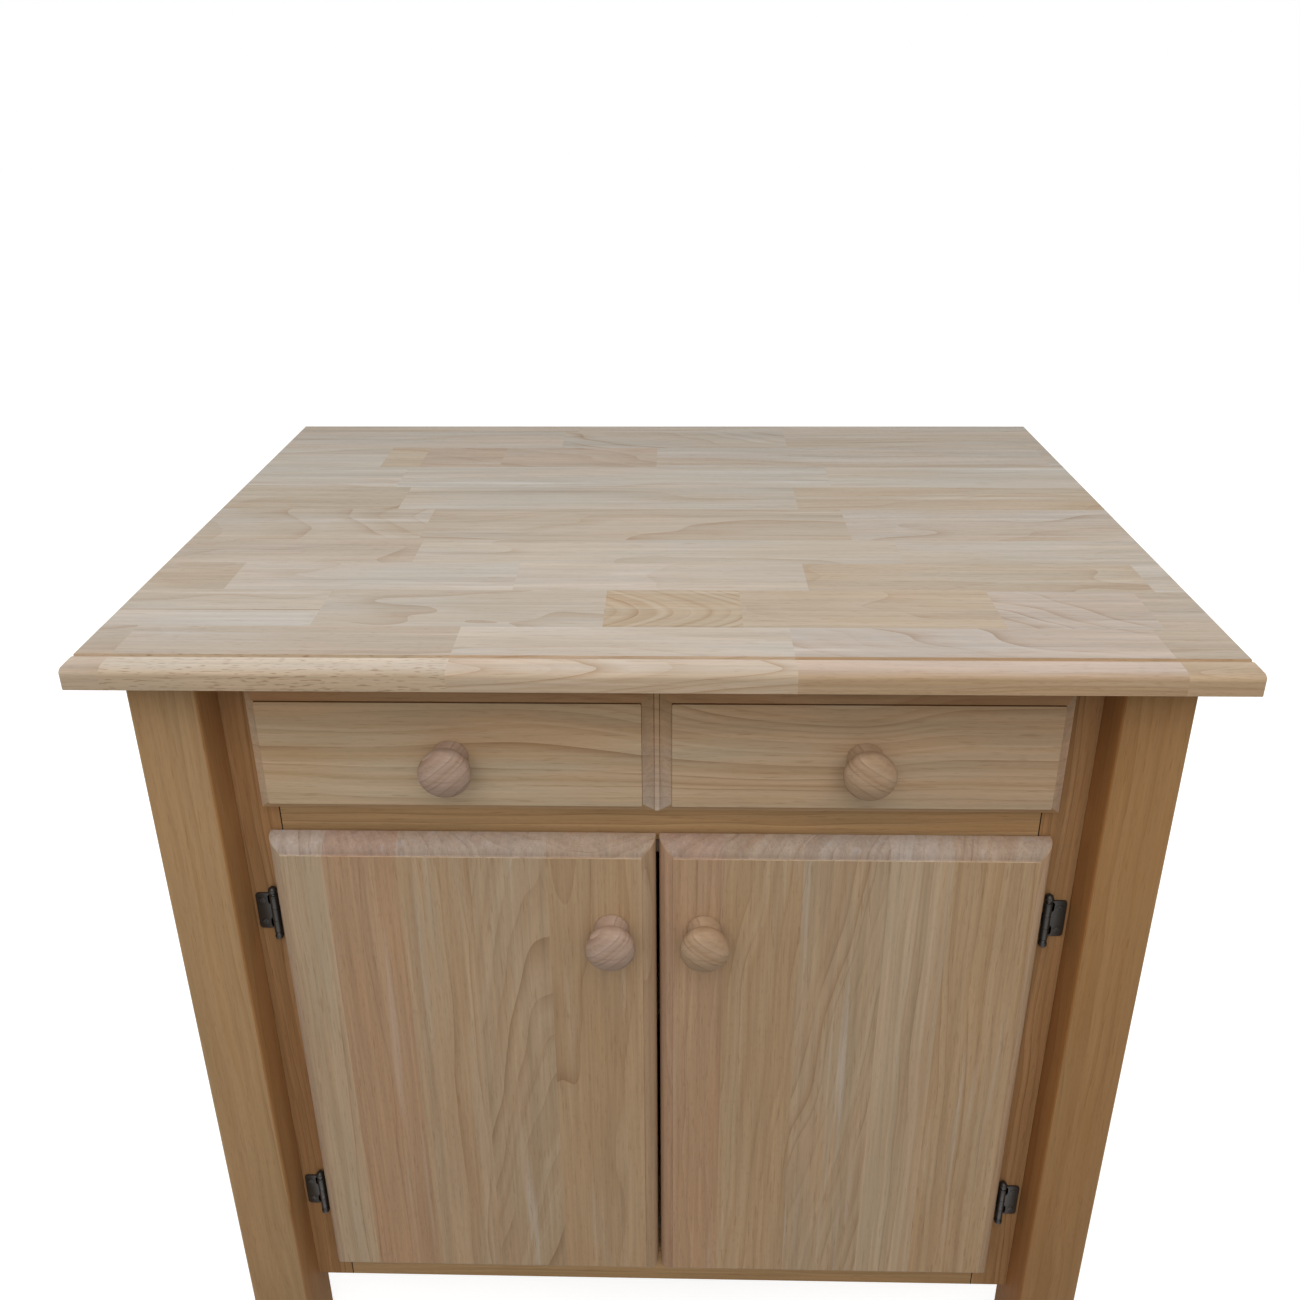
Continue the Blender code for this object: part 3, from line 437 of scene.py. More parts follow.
# The wood's rings and surface
WOBBLE_REACH = 0.026
UNEVEN_RATE = 0.37
UNEVEN_REACH = 2.4
LATE_POWER = 5.0
FAINTEST_LINE = 0.15
BAND_RATE = 0.8
BAND_GAIN = 1.5
BAND_SHIFT = -1.25
FIBRE_SHARE = 0.55
STRAND_SHARE = 0.45
WOOD_ROUGHNESS = 0.62
WOOD_SPECULAR = 0.05
ROUGH_LOW = 0.56
ROUGH_GAIN = 0.16
LINE_DEPTH = 0.5
BUMP_STRENGTH = 0.10
WOOD_RELIEF = 0.0004


def wood(name, tones, grain, ring, lines, heart=(0.0, 0.0, 0.0), lean=0.0, pores=0.12, fibres=0.22,
         staves=None, bends=(), wisps=0.0, drift=0.35):
    """Solid wood: growth rings about a heart line, fine fibres along it and short dark pores.

    A ring's number is the distance from the heart line, with a slow wobble and a lean along the grain, over
    the ring's width. The shade deepens towards the end of each ring. Staves is "painted" where the faces
    carry their own heart, tint and figure, or the width of the staves that a panel is glued from. A bend
    is (start, end, amount): the rings drop by the amount between two places along the grain, high up. Wisps
    are thin whitish streaks, where a long noise is near its highest; flecks are shorter and dark. A slow
    noise lets the hue drift from warm to cool.
    """
    made, tree, shader = plain_material(name, tones[0], WOOD_ROUGHNESS, specular=WOOD_SPECULAR)
    pale, tan, dark = ((*tone, 1.0) for tone in tones)
    seen = put(tree, "ShaderNodeTexCoord").outputs["Object"]
    mapping = {"Vector": seen, "Location": [-offset for offset in heart], "Rotation": TURN_GRAIN[grain]}
    place = put(tree, "ShaderNodeMapping", mapping).outputs[0]
    tint = None
    own_lines = 1.0
    if staves == "painted":
        own_heart = put(tree, "ShaderNodeAttribute", attribute_name="heart").outputs["Vector"]
        place = vectors(tree, "ADD", place, own_heart)
        tint = put(tree, "ShaderNodeAttribute", attribute_name="tint").outputs["Vector"]
        figure = put(tree, "ShaderNodeAttribute", attribute_name="figure").outputs["Vector"]
        lean, own_pores, own_lines = put(tree, "ShaderNodeSeparateXYZ", {0: figure}).outputs
        pores = maths(tree, "MULTIPLY", own_pores, pores)
        lines = maths(tree, "MULTIPLY", own_lines, lines)
    elif staves:
        across = put(tree, "ShaderNodeSeparateXYZ", {0: place}).outputs[1]
        number = maths(tree, "FLOOR", maths(tree, "DIVIDE", across, staves))
        draw = put(tree, "ShaderNodeTexWhiteNoise", {"W": number}, noise_dimensions="1D")
        place = vectors(tree, "ADD", place, vectors(tree, "MULTIPLY", draw.outputs["Color"], STAVE_SPREAD))
        tint = mix(tree, draw.outputs["Value"], STAVE_DARK, STAVE_LIGHT)
    along = put(tree, "ShaderNodeSeparateXYZ", {0: place}).outputs[0]
    flat = vectors(tree, "MULTIPLY", place, (0.0, 1.0, 1.0))
    distance = put(tree, "ShaderNodeVectorMath", {0: flat}, operation="LENGTH").outputs["Value"]
    wobble = streaks(tree, place, WOBBLE_SCALE, detail=2.0)
    distance = maths(tree, "MULTIPLY_ADD", wobble, WOBBLE_REACH, distance)
    distance = maths(tree, "MULTIPLY_ADD", along, lean, distance)
    if bends:
        run, _, rise = put(tree, "ShaderNodeSeparateXYZ", {0: seen}).outputs
        high_up = span(tree, rise, BEND_FLOOR, BEND_CEILING)
        for start, end, amount in bends:
            drop = maths(tree, "MULTIPLY", span(tree, run, start, end, "SMOOTHSTEP"), high_up)
            distance = maths(tree, "MULTIPLY_ADD", drop, amount, distance)
    count = maths(tree, "DIVIDE", distance, ring)
    uneven = banded(tree, maths(tree, "MULTIPLY", count, UNEVEN_RATE))
    count = maths(tree, "MULTIPLY_ADD", uneven, UNEVEN_REACH, count)
    late = maths(tree, "POWER", maths(tree, "FRACT", count), LATE_POWER)
    whole = maths(tree, "FLOOR", count)
    strength = put(tree, "ShaderNodeTexWhiteNoise", {"W": whole}, noise_dimensions="1D").outputs["Value"]
    strength = maths(tree, "MULTIPLY_ADD", strength, 1.0 - FAINTEST_LINE, FAINTEST_LINE)
    broken = span(tree, streaks(tree, place, BREAK_SCALE), *BREAK_SPAN)
    late = maths(tree, "MULTIPLY", late, strength)
    line = maths(tree, "MULTIPLY", late, maths(tree, "MULTIPLY", broken, lines))
    band = banded(tree, maths(tree, "MULTIPLY", count, BAND_RATE), detail=2.0)
    blotch = streaks(tree, place, BLOTCH_SCALE, detail=2.0)
    fibre = streaks(tree, place, FIBRE_SCALE, detail=3.0, roughness=0.62)
    strand = streaks(tree, place, STRAND_SCALE, detail=2.0, roughness=0.55)
    pore = span(tree, streaks(tree, place, PORE_SCALE, detail=0.0), *SPECK_SPAN)
    fleck = span(tree, streaks(tree, place, FLECK_SCALE), *SPECK_SPAN)
    share = maths(tree, "ADD", maths(tree, "MULTIPLY_ADD", band, BAND_GAIN, BAND_SHIFT), blotch)
    share = maths(tree, "MULTIPLY_ADD", share, own_lines, 0.5)
    colour = mix(tree, share, pale, tan)
    colour = mix(tree, line, colour, dark)
    hue = span(tree, streaks(tree, place, DRIFT_SCALE, detail=2.0), *DRIFT_SPAN)
    colour = mix(tree, drift, colour, mix(tree, hue, DRIFT_WARM, DRIFT_COOL), "MULTIPLY")
    if wisps:
        wisp = span(tree, streaks(tree, place, WISP_SCALE, detail=2.0), *WISP_SPAN)
        colour = mix(tree, maths(tree, "MULTIPLY", wisp, wisps), colour, WISP)
    fine = maths(tree, "ADD", maths(tree, "MULTIPLY", fibre, FIBRE_SHARE),
                 maths(tree, "MULTIPLY", strand, STRAND_SHARE))
    grey = maths(tree, "MULTIPLY_ADD", fine, 2.0 * fibres, 1.0 - fibres)
    colour = mix(tree, 1.0, colour, grey, "MULTIPLY")
    colour = mix(tree, maths(tree, "MULTIPLY", fleck, FLECK_SHARE), colour, dark)
    colour = mix(tree, maths(tree, "MULTIPLY", pore, pores), colour, PORE)
    if tint is not None:
        colour = mix(tree, 1.0, colour, tint, "MULTIPLY")
    tree.links.new(colour, shader.inputs["Base Color"])
    rough = maths(tree, "MULTIPLY_ADD", fibre, ROUGH_GAIN, ROUGH_LOW)
    tree.links.new(rough, shader.inputs["Roughness"])
    height = maths(tree, "SUBTRACT", fibre, maths(tree, "MULTIPLY_ADD", line, LINE_DEPTH, pore))
    bumped = {"Height": height, "Strength": BUMP_STRENGTH, "Distance": WOOD_RELIEF}
    tree.links.new(put(tree, "ShaderNodeBump", bumped).outputs[0], shader.inputs["Normal"])
    return made


# A stave's look: its tint, its rings' lean, how far its heart lies across and below, its pores and lines
LOOKS = {
    "pale": ((1.12, 1.19, 1.30), 0.01, 0.14, -0.05, 0.4, 0.6),
    "cream": ((1.07, 1.13, 1.21), 0.00, 0.18, -0.04, 0.4, 1.0),
    "plain": ((1.02, 1.03, 1.05), 0.01, 0.12, -0.08, 0.5, 0.9),
    "pink": ((1.03, 1.05, 1.10), 0.02, 0.09, -0.05, 0.6, 1.0),
    "gold": ((1.02, 1.00, 0.97), 0.02, 0.06, -0.08, 0.5, 1.0),
    "fine": ((1.01, 1.02, 1.04), 0.00, 0.22, -0.02, 0.3, 1.2),
    "figured": ((1.08, 1.12, 1.23), 0.10, 0.01, -0.05, 0.4, 1.2),
    "curl": ((1.01, 1.04, 1.08), 0.10, 0.01, -0.05, 0.4, 1.2),
    "swirl": ((1.07, 1.07, 1.09), 0.10, 0.01, -0.05, 0.4, 1.2),
    "vee": ((1.01, 0.97, 0.91), -0.42, 0.2238, -0.7667, 0.3, 1.5),
    "brown": ((1.00, 0.95, 0.94), 0.05, 0.02, -0.05, 0.6, 1.1),
    "tan": ((1.00, 0.99, 0.97), 0.04, 0.03, -0.06, 0.6, 1.0),
    "porous": ((1.04, 1.07, 1.10), 0.01, 0.10, -0.06, 2.0, 0.5),
    "amber": ((0.96, 0.89, 0.80), 0.02, 0.08, -0.06, 0.6, 1.0),
    "rosy": ((1.01, 0.93, 0.92), 0.01, 0.10, -0.06, 0.6, 0.8),
}


def corners_of(made):
    """The face of each corner of a piece's faces, and its place, as arrays."""
    mesh = made.data
    sizes = np.empty(len(mesh.polygons), int)
    mesh.polygons.foreach_get("loop_total", sizes)
    points = np.empty(len(mesh.loops), int)
    mesh.loops.foreach_get("vertex_index", points)
    places = np.empty(len(mesh.vertices) * 3)
    mesh.vertices.foreach_get("co", places)
    return np.repeat(np.arange(len(sizes)), sizes), places.reshape(-1, 3)[points]


def paint(made, number, tints, hearts, figures, shade=1.0):
    """Gives each face the heart and the figure of its number, and its corners its tint times their shade."""
    face, _ = corners_of(made)
    # The shade multiplies the tint at each corner: it carries the light and shade that the callers paint into
    # the colour
    for name, domain, values in (("tint", "CORNER", np.asarray(tints)[number][face] * shade),
                                 ("heart", "FACE", np.asarray(hearts)[number]),
                                 ("figure", "FACE", np.asarray(figures)[number])):
        layer = made.data.attributes.new(name, "FLOAT_VECTOR", domain)
        layer.data.foreach_set("vector", values.astype(np.float32).ravel())


TINT_SPREAD = (0.98, 1.02)
HEART_RUN = (-40.0, 40.0)
HEART_SPREAD = (0.8, 1.2)


def paint_staves(made, number, looks, seed, shade=1.0):
    """Paints each face as its stave, with a heart and a lean drawn for every stave."""
    draw = np.random.default_rng(seed)
    count = len(looks)
    tints = np.array([look[0] for look in looks]) * draw.uniform(*TINT_SPREAD, (count, 1))
    lean, across, below, pores, lines = np.array([look[1:] for look in looks]).T
    hearts = np.stack([draw.uniform(*HEART_RUN, count), across * draw.uniform(*HEART_SPREAD, count),
                       below * draw.uniform(*HEART_SPREAD, count)], axis=1)
    figures = np.stack([lean * draw.choice([-1.0, 1.0], count), pores, lines], axis=1)
    paint(made, number, tints, hearts, figures, shade)


def tinted(looks, tint):
    """The same looks with their tints multiplied by another."""
    return [(tuple(np.multiply(look[0], tint)), *look[1:]) for look in looks]


def face_centres(made):
    """The middle of each face, as an array."""
    centres = np.empty(len(made.data.polygons) * 3)
    made.data.polygons.foreach_get("center", centres)
    return centres.reshape(-1, 3)


# Worktop: rows of staves from front to back, each with its far edge and its staves' right ends

END = 1.0
TOP_ROWS = (
    (-0.217, ((-0.427, "pink"), (-0.160, "pink"), (0.108, "pale"), (0.400, "figured"), (END, "plain"))),
    (-0.154, ((-0.285, "cream"), (-0.044, "cream"), (0.071, "vee"), (0.285, "gold"), (0.411, "figured"),
              (END, "pink"))),
    (-0.102, ((-0.382, "plain"), (-0.127, "pale"), (0.132, "pale"), (0.430, "tan"), (END, "pale"))),
    (-0.052, ((-0.228, "pink"), (0.226, "cream"), (END, "cream"))),
    (0.022, ((-0.233, "curl"), (0.186, "fine"), (END, "pink"))),
    (0.081, ((-0.272, "tan"), (0.143, "cream"), (END, "gold"))),
    (0.141, ((-0.289, "cream"), (0.186, "cream"), (END, "cream"))),
    (0.204, ((-0.323, "cream"), (-0.278, "gold"), (-0.185, "brown"), (-0.005, "brown"), (0.444, "pink"),
             (END, "pink"))),
    (0.263, ((-0.120, "pink"), (0.151, "curl"), (END, "plain"))),
    (END, ((-0.104, "plain"), (END, "pink"))),
)
NOSE_LOOKS = ("pink", "porous", "swirl", "amber", "amber")
# The ledge's tints run down the round into the nose's warmer tint: partly each stave's own tone, partly
# painted light, cooler on the ledge that faces up and warmer on the face turned forward
LEDGE_TINTS = np.array([(1.16, 1.13, 1.12), (1.29, 1.30, 1.33), (1.13, 1.11, 1.10), (1.28, 1.33, 1.56),
                        (1.09, 1.07, 1.06)])
NOSE_TINT = np.array((1.27, 1.16, 1.02))
NOSE_TURN = (0.0130, 0.0230)
# Painted light and shade along the nose's section, by the run from the arris: a painted highlight on the
# arris, painted shade over the round, lighter again down the front
NOSE_RUN = (0.0, 0.0035, 0.0080, 0.0120, 0.0160, 0.0200, 0.0235, 0.0300, 0.0370)
NOSE_SHADE = (1.11, 1.02, 0.95, 0.91, 0.83, 0.86, 0.885, 0.95, 0.98)
# Painted shade that darkens the top towards its back edge, as if less light reached it
BACK_RUN = (-0.05, 0.28)
BACK_PAINTED_SHADE = np.array((0.93, 0.965, 1.0))
# The quirk's warmer tint is painted warm light bounced inside the groove
QUIRK_WARM_LIGHT = (1.10, 1.02, 0.92)
EDGE_TINT = (1.06, 0.95, 0.80)
WORKTOP_SEED = 7
SAP_EDGE = -0.191
SAP_END = -0.285
SAP_TINT = (1.05, 1.07, 1.10)
SAP_LINE = 0.0013
SAP_LINE_TINT = (0.74, 0.66, 0.58)


def worktop():
    """The board: its cross-section, with the quirk and the rounded nose, carried along X past every joint."""
    low, high = box_of("top_board")
    front, back = low[1], high[1]
    joints = sorted({end for _, staves in TOP_ROWS for end, _ in staves if end < END})
    edges = [edge for edge, _ in TOP_ROWS[:-1]]
    lines = np.array(sorted(edges + [SAP_EDGE, SAP_EDGE + SAP_LINE]))
    under = [(place, low[2]) for place in lines[::-1]]
    over = [(place, high[2]) for place in lines]
    ease = arc(TOP_EASE, TOP_EASE, EASE_STEPS)
    nose_ease = arc(NOSE_EASE, NOSE_EASE, SOFT_STEPS)
    nose_round = arc(NOSE_ROUND, NOSE_ROUND_DOWN)[::-1]
    quirk = front + NOSE_WIDTH
    arris = quirk - QUIRK_WIDTH
    section = np.concatenate([
        np.stack([back - ease[:, 1], low[2] + TOP_EASE - ease[:, 0]], axis=1),
        np.reshape(under, (-1, 2)),
        np.stack([front + NOSE_EASE - nose_ease[:, 0], low[2] + nose_ease[:, 1]], axis=1),
        np.stack([front + NOSE_ROUND - nose_round[:, 0], high[2] - nose_round[:, 1]], axis=1),
        [(arris - place, high[2]) for place in LEDGE_BREAKS[::-1]],
        [(arris, high[2]), (quirk, high[2] - QUIRK_DEPTH), (quirk + RISER, high[2])],
        np.reshape(over, (-1, 2)),
        np.stack([back - TOP_EASE + ease[:, 0], high[2] - ease[:, 1]], axis=1),
    ])
    eased = np.clip(section, (front + TOP_EASE, low[2] + TOP_EASE), (back - TOP_EASE, high[2] - TOP_EASE))
    stations = [low[0], low[0] + TOP_EASE, *joints, high[0] - TOP_EASE, high[0]]
    rings = []
    for place in stations:
        ring = eased if place in (low[0], high[0]) else section
        rings.append(np.column_stack([np.full(len(ring), place), ring]))
    count = len(section)
    faces = bands(len(rings), count)
    first_under = len(ease)
    first_over = count - len(ease) - len(lines)
    last_ring = (len(rings) - 1) * count
    for start in (0, last_ring):
        unders = start + first_under + np.arange(len(lines))[::-1]
        overs = start + first_over + np.arange(len(lines))
        caps = [np.arange(unders[0], overs[0] + 1)]
        for place in range(len(lines) - 1):
            caps.append(np.array([unders[place + 1], unders[place], overs[place], overs[place + 1]]))
        caps.append(np.concatenate([np.arange(overs[-1], start + count), np.arange(start, unders[-1] + 1)]))
        faces += [(cap if start else cap[::-1]).tolist() for cap in caps]
    made = piece("worktop", np.concatenate(rings), faces, "cabinet", WORKTOP_WOOD, BOARD_CREASE,
                 ("top_board",))
    centres = face_centres(made)
    row = np.searchsorted(edges, centres[:, 1])
    number = np.zeros(len(centres), int)
    looks = []
    for index, (_, staves) in enumerate(TOP_ROWS):
        ends = [end for end, _ in staves[:-1]]
        in_row = row == index
        number[in_row] = len(looks) + np.searchsorted(ends, centres[in_row, 0])
        looks += [LOOKS[look] for _, look in staves]
    sap = (row == 1) & (centres[:, 0] < SAP_END) & (centres[:, 1] < SAP_EDGE + SAP_LINE)
    number[sap] = len(looks)
    number[sap & (centres[:, 1] > SAP_EDGE)] += 1
    looks += tinted([LOOKS["pale"]], SAP_TINT) + tinted([LOOKS["pale"]], SAP_LINE_TINT)
    nose = centres[:, 1] < quirk + RISER
    in_quirk = nose & (centres[:, 1] > arris) & (centres[:, 2] > (low[2] + high[2]) / 2)
    first = len(looks)
    number[nose] += first
    looks += [LOOKS[look] for look in NOSE_LOOKS]
    # The corners' shade: painted light and shade along the nose, painted shade towards the back of the top,
    # and painted warm light in the quirk
    face, place = corners_of(made)
    stave = np.where(nose, number - first, 0)[face]
    run = arris - place[:, 1] + high[2] - place[:, 2]
    low_share = np.interp(run, NOSE_TURN, (0.0, 1.0))[:, None]
    blend = (1.0 - low_share) * LEDGE_TINTS[stave] + low_share * NOSE_TINT
    back_share = np.interp(place[:, 1], BACK_RUN, (0.0, 1.0))[:, None]
    shade = np.where(nose[face][:, None], blend * np.interp(run, NOSE_RUN, NOSE_SHADE)[:, None],
                     1.0 - back_share * (1.0 - BACK_PAINTED_SHADE))
    shade[in_quirk[face]] = QUIRK_WARM_LIGHT
    depth = high[2] - place[:, 2]
    shade[~nose[face] & (depth > TOP_EASE / 2) & (depth < high[2] - low[2] - TOP_EASE / 2)] = EDGE_TINT
    paint_staves(made, number, looks, WORKTOP_SEED, shade)


# Drawer front: for each kind of face a tint, what multiplies it at the upper edge as painted shade beneath
# the worktop's overhang, and its lines' strength

DRAWER_LOOKS = (
    ((1.12, 1.19, 1.27), (0.98, 0.87, 0.77), 1.0),
    ((1.17, 1.27, 1.58), (0.74, 0.58, 0.37), 0.55),
    ((0.985, 0.80, 0.665), (1.0, 1.0, 1.0), 0.8),
    ((1.16, 1.20, 1.34), (0.88, 0.80, 0.72), 0.55),
    ((0.36, 0.26, 0.18), (1.0, 1.0, 1.0), 1.0),
    ((0.98, 0.88, 0.78), (1.0, 1.0, 1.0), 1.0),
    ((1.18, 1.28, 1.59), (0.83, 0.67, 0.44), 0.55),
    ((0.96, 0.96, 1.12), (0.46, 0.34, 0.21), 0.55),
)
# Some tints paint light and shade: the step's dark tint is a painted shadow line, the upper and lower borders
# and the bead's flanks are painted darker as shade, and the outer upright borders are painted lighter where
# they face the light
FIELD, VALLEY, UPPER, OUTER, STEP, LOWER, CROWN, FLANK = range(len(DRAWER_LOOKS))
# Painted light across the drawer's front: lighter at the left, darker towards the right, as if the light fell
# off that way
DRAWER_LIT_LEFT = np.array((1.03, 1.06, 1.09))
DRAWER_SHADED_RIGHT = np.array((0.94, 0.945, 0.985))
DRAWER_LEAN = 0.008
DRAWER_HEART = (0.4, -0.30, 0.66)
DRAWER_BENDS = ((-0.130, 0.160, 0.034), (0.165, 0.260, -0.020))


def drawer_front():
    """One board routed as two raised fields: each is rounded rings from the edge up a slope and over a step.

    A low bead, an arc flattened by a fourth power, carried up the board, stands in the valley between them.
    """
    low, high = box_of("drawer_front")
    face, back = low[1], high[1]
    edge = face + FIELD_DROP
    half = BEAD_WIDTH / 2
    steps = ((0.0, edge, 0.0), (FIELD_BORDER, face + FIELD_STEP, FIELD_CORNER),
             (FIELD_BORDER + RISER, face, FIELD_CORNER))
    shells = []
    for near, far in ((low[0], -half), (half, high[0])):
        rings = [upright_ring((near, face, low[2]), (far, face, high[2]), *step) for step in steps]
        count = len(rings[0])
        last = (len(rings) - 1) * count
        shells.append((np.concatenate(rings), bands(len(rings), count) + ring_strips(last, 0)))
    swell = np.linspace(-1.0, 1.0, BEAD_POINTS)
    bead_top = face + BEAD_DROP
    rise = bead_top + (edge - bead_top) * np.abs(swell) ** 4
    bead = np.concatenate([np.column_stack([swell * half, rise, np.full(BEAD_POINTS, height)])
                           for height in (low[2], high[2])])
    place = np.arange(BEAD_POINTS - 1)
    strips = np.stack([place, place + 1, place + BEAD_POINTS + 1, place + BEAD_POINTS], axis=1).tolist()
    lower_end = list(range(BEAD_POINTS))[::-1]
    upper_end = list(range(BEAD_POINTS, 2 * BEAD_POINTS))
    shells.append((bead, strips + [lower_end, upper_end]))
    slab = []
    for inset, depth in ((FRONT_EASE, back), (0.0, back - FRONT_EASE), (0.0, edge)):
        across = np.array([low[0] + inset, -half, half, high[0] - inset])
        lower = np.column_stack([across, np.full(len(across), low[2] + inset)])
        upper = np.column_stack([across[::-1], np.full(len(across), high[2] - inset)])
        slab.append(upright(np.concatenate([lower, upper]), depth))
    count = len(slab[0])
    shells.append((np.concatenate(slab), bands(len(slab), count) + [list(range(count))[::-1]]))
    points, faces = welded(*gathered(shells))
    made = piece("drawer_face", points, faces, "drawer", DRAWER_WOOD, DRAWER_CREASE,
                 ("drawer_front",))
    centres = face_centres(made)
    off = np.abs(centres[:, 0])
    border = centres[:, 1] > face + RISER
    upper = centres[:, 2] > high[2] - FIELD_BORDER
    outer = off > high[0] - FIELD_BORDER
    number = np.where(border, np.where(upper, UPPER, np.where(outer, OUTER, VALLEY)), FIELD)
    in_bead = border & (centres[:, 1] < edge) & (off < half)
    number[in_bead] = np.where(off[in_bead] < BEAD_CROWN * half, CROWN, FLANK)
    number[border & (centres[:, 2] < low[2] + FIELD_BORDER)] = LOWER
    step = np.abs(centres[:, 1] - face - FIELD_STEP / 2) < RISER
    number[step & (centres[:, 2] > (low[2] + high[2]) / 2)] = STEP
    # Each corner's shade: painted shade that deepens towards the upper edge, times painted light that falls
    # off from left to right
    tints, overhang_shade, lines = (np.array(column) for column in zip(*DRAWER_LOOKS))
    corner_face, place = corners_of(made)
    across, _, up = ((place - low) / (high - low)).T[:, :, None]
    shade = 1.0 - up + up * overhang_shade[number][corner_face]
    shade *= (1.0 - across) * DRAWER_LIT_LEFT + across * DRAWER_SHADED_RIGHT
    count = len(DRAWER_LOOKS)
    figures = np.column_stack([np.full(count, DRAWER_LEAN), np.ones(count), lines])
    paint(made, number, tints, np.zeros((count, 3)), figures, shade)


# Doors: their staves from left to right, each with its right edge, and the tints of three kinds of face

DOOR_STAVES = {
    "left": ((-0.296, "cream"), (-0.231, "rosy"), (-0.166, "plain"), (-0.098, "curl"), (END, "gold")),
    "right": ((0.059, "rosy"), (0.128, "tan"), (0.204, "curl"), (0.259, "cream"), (END, "gold")),
}
# The band's cooler tint is partly the round's cut-across grain and partly painted light where the round faces
# up
DOOR_TINTS = ((0.90, 0.98, 1.23), (0.98, 0.98, 1.04), (1.12, 1.16, 1.26))
BAND, SIDE_BAND, ARRIS = 1, 2, 3


def door(side, seed):
    """A slab door: rounded rings from its back, over an eased edge and a round, up the quirk to the field."""
    low, high = box_of(f"door_{side}")
    face, back = low[1], high[1]
    joints = [end for end, _ in DOOR_STAVES[side][:-1]]
    rise = back - face - DOOR_EDGE - DOOR_QUIRK
    field = DOOR_ROUND_WIDTH + RISER
    steps = [(DOOR_EASE - along, back - down) for along, down in arc(DOOR_EASE, DOOR_EASE, EASE_STEPS)]
    steps += [(down, back - DOOR_EDGE - along) for along, down in arc(rise, DOOR_ROUND_WIDTH)]
    steps += [(field, face + DOOR_ARRIS), (field + DOOR_ARRIS, face)]
    rings = [upright_ring(low, high, *step, FRONT_EASE, joints) for step in steps]
    points, faces = stacked(rings, len(joints))
    made = piece(f"door_board_{side}", points, faces, f"{side}_door", DOOR_WOOD, DOOR_CREASE,
                 (f"door_{side}",))
    centres = face_centres(made)
    beside, _, above = np.minimum(centres - low, high - centres).T
    inset = np.minimum(beside, above)
    kind = np.where(inset < field + DOOR_ARRIS, ARRIS, 0)
    kind = np.where(inset < field, np.where(beside < field, SIDE_BAND, BAND), kind)
    looks = [LOOKS[look] for _, look in DOOR_STAVES[side]]
    number = np.searchsorted(joints, centres[:, 0]) + kind * len(looks)
    looks += [look for tint in DOOR_TINTS for look in tinted(looks, tint)]
    paint_staves(made, number, looks, seed)


# Knobs and legs

def knob(node, body, material):
    """A turned knob: a foot, a hollow neck, then a head of two unlike quarter ellipses."""
    low, high = box_of(node)
    across, _, up = middle_of(node)
    reach = high[1] - low[1]
    radius = (high[0] - low[0]) / 2
    back = 2 * KNOB_WIDEST - reach
    foot = arc(KNOB_FOOT_EASE, KNOB_FOOT_EASE, SOFT_STEPS)
    hollow = np.linspace(0.0, 1.0, KNOB_NECK_STEPS)[1:]
    neck = KNOB_NECK_RADIUS + (KNOB_FOOT_RADIUS - KNOB_NECK_RADIUS) * (1.0 - hollow) ** 3
    up_neck = KNOB_FOOT_EASE + (KNOB_NECK_SHARE * back - KNOB_FOOT_EASE) * hollow
    under = arc(radius - KNOB_NECK_RADIUS, KNOB_WIDEST - back)[1:]
    crown = arc(radius, reach - KNOB_WIDEST)[-2:0:-1]
    profile = np.concatenate([
        [(0.0, 0.0)],
        foot + (KNOB_FOOT_RADIUS - KNOB_FOOT_EASE, 0.0),
        np.stack([neck, up_neck], axis=1),
        under + (KNOB_NECK_RADIUS, back),
        crown * (1.0, -1.0) + (0.0, reach),
        [(0.0, reach)],
    ])
    points, faces = turned(profile * (1.0, -1.0), "Y", (across, high[1], up))
    piece(node + "_turned", points, faces, body, material, KNOB_CREASE, (node,))


LEG_LEAN = 0.01
# The faces turned towards the island's middle are painted darker and browner: painted shade
LEG_INNER_SHADE = ((1.0, 1.0, 1.0), (0.93, 0.78, 0.63))


def leg(node, material):
    """A square leg: a rounded square carried up, drawn in by a quarter round at its two ends."""
    low, high = box_of(node)
    rings = []
    for inset, height in eased_steps(LEG_ROUND / 2, low[2], high[2], SOFT_STEPS):
        ring = rounded_ring(low[:2] + inset, high[:2] - inset, LEG_ROUND)
        rings.append(np.column_stack([ring, np.full(len(ring), height)]))
    points, faces = stacked(rings)
    made = piece(node + "_post", points, faces, "cabinet", material, LEG_CREASE, (node,))
    inner = np.abs(face_centres(made)[:, 0]) < np.abs([low[0], high[0]]).min() + LEG_ROUND / 2
    paint(made, inner.astype(int), LEG_INNER_SHADE, np.zeros((2, 3)), np.tile((LEG_LEAN, 1.0, 1.0), (2, 1)))


# Joint lines: dark slivers that paint the shadow in the joints between rails and stiles

JOINT_WIDTH = 0.0008
JOINT_PROUD = 0.0001
BOX_CORNERS = np.array([(x, y, z) for x in (0, 1) for y in (0, 1) for z in (0, 1)])
BOX_FACES = [[0, 1, 3, 2], [4, 6, 7, 5], [0, 4, 5, 1], [2, 3, 7, 6], [0, 2, 6, 4], [1, 5, 7, 3]]


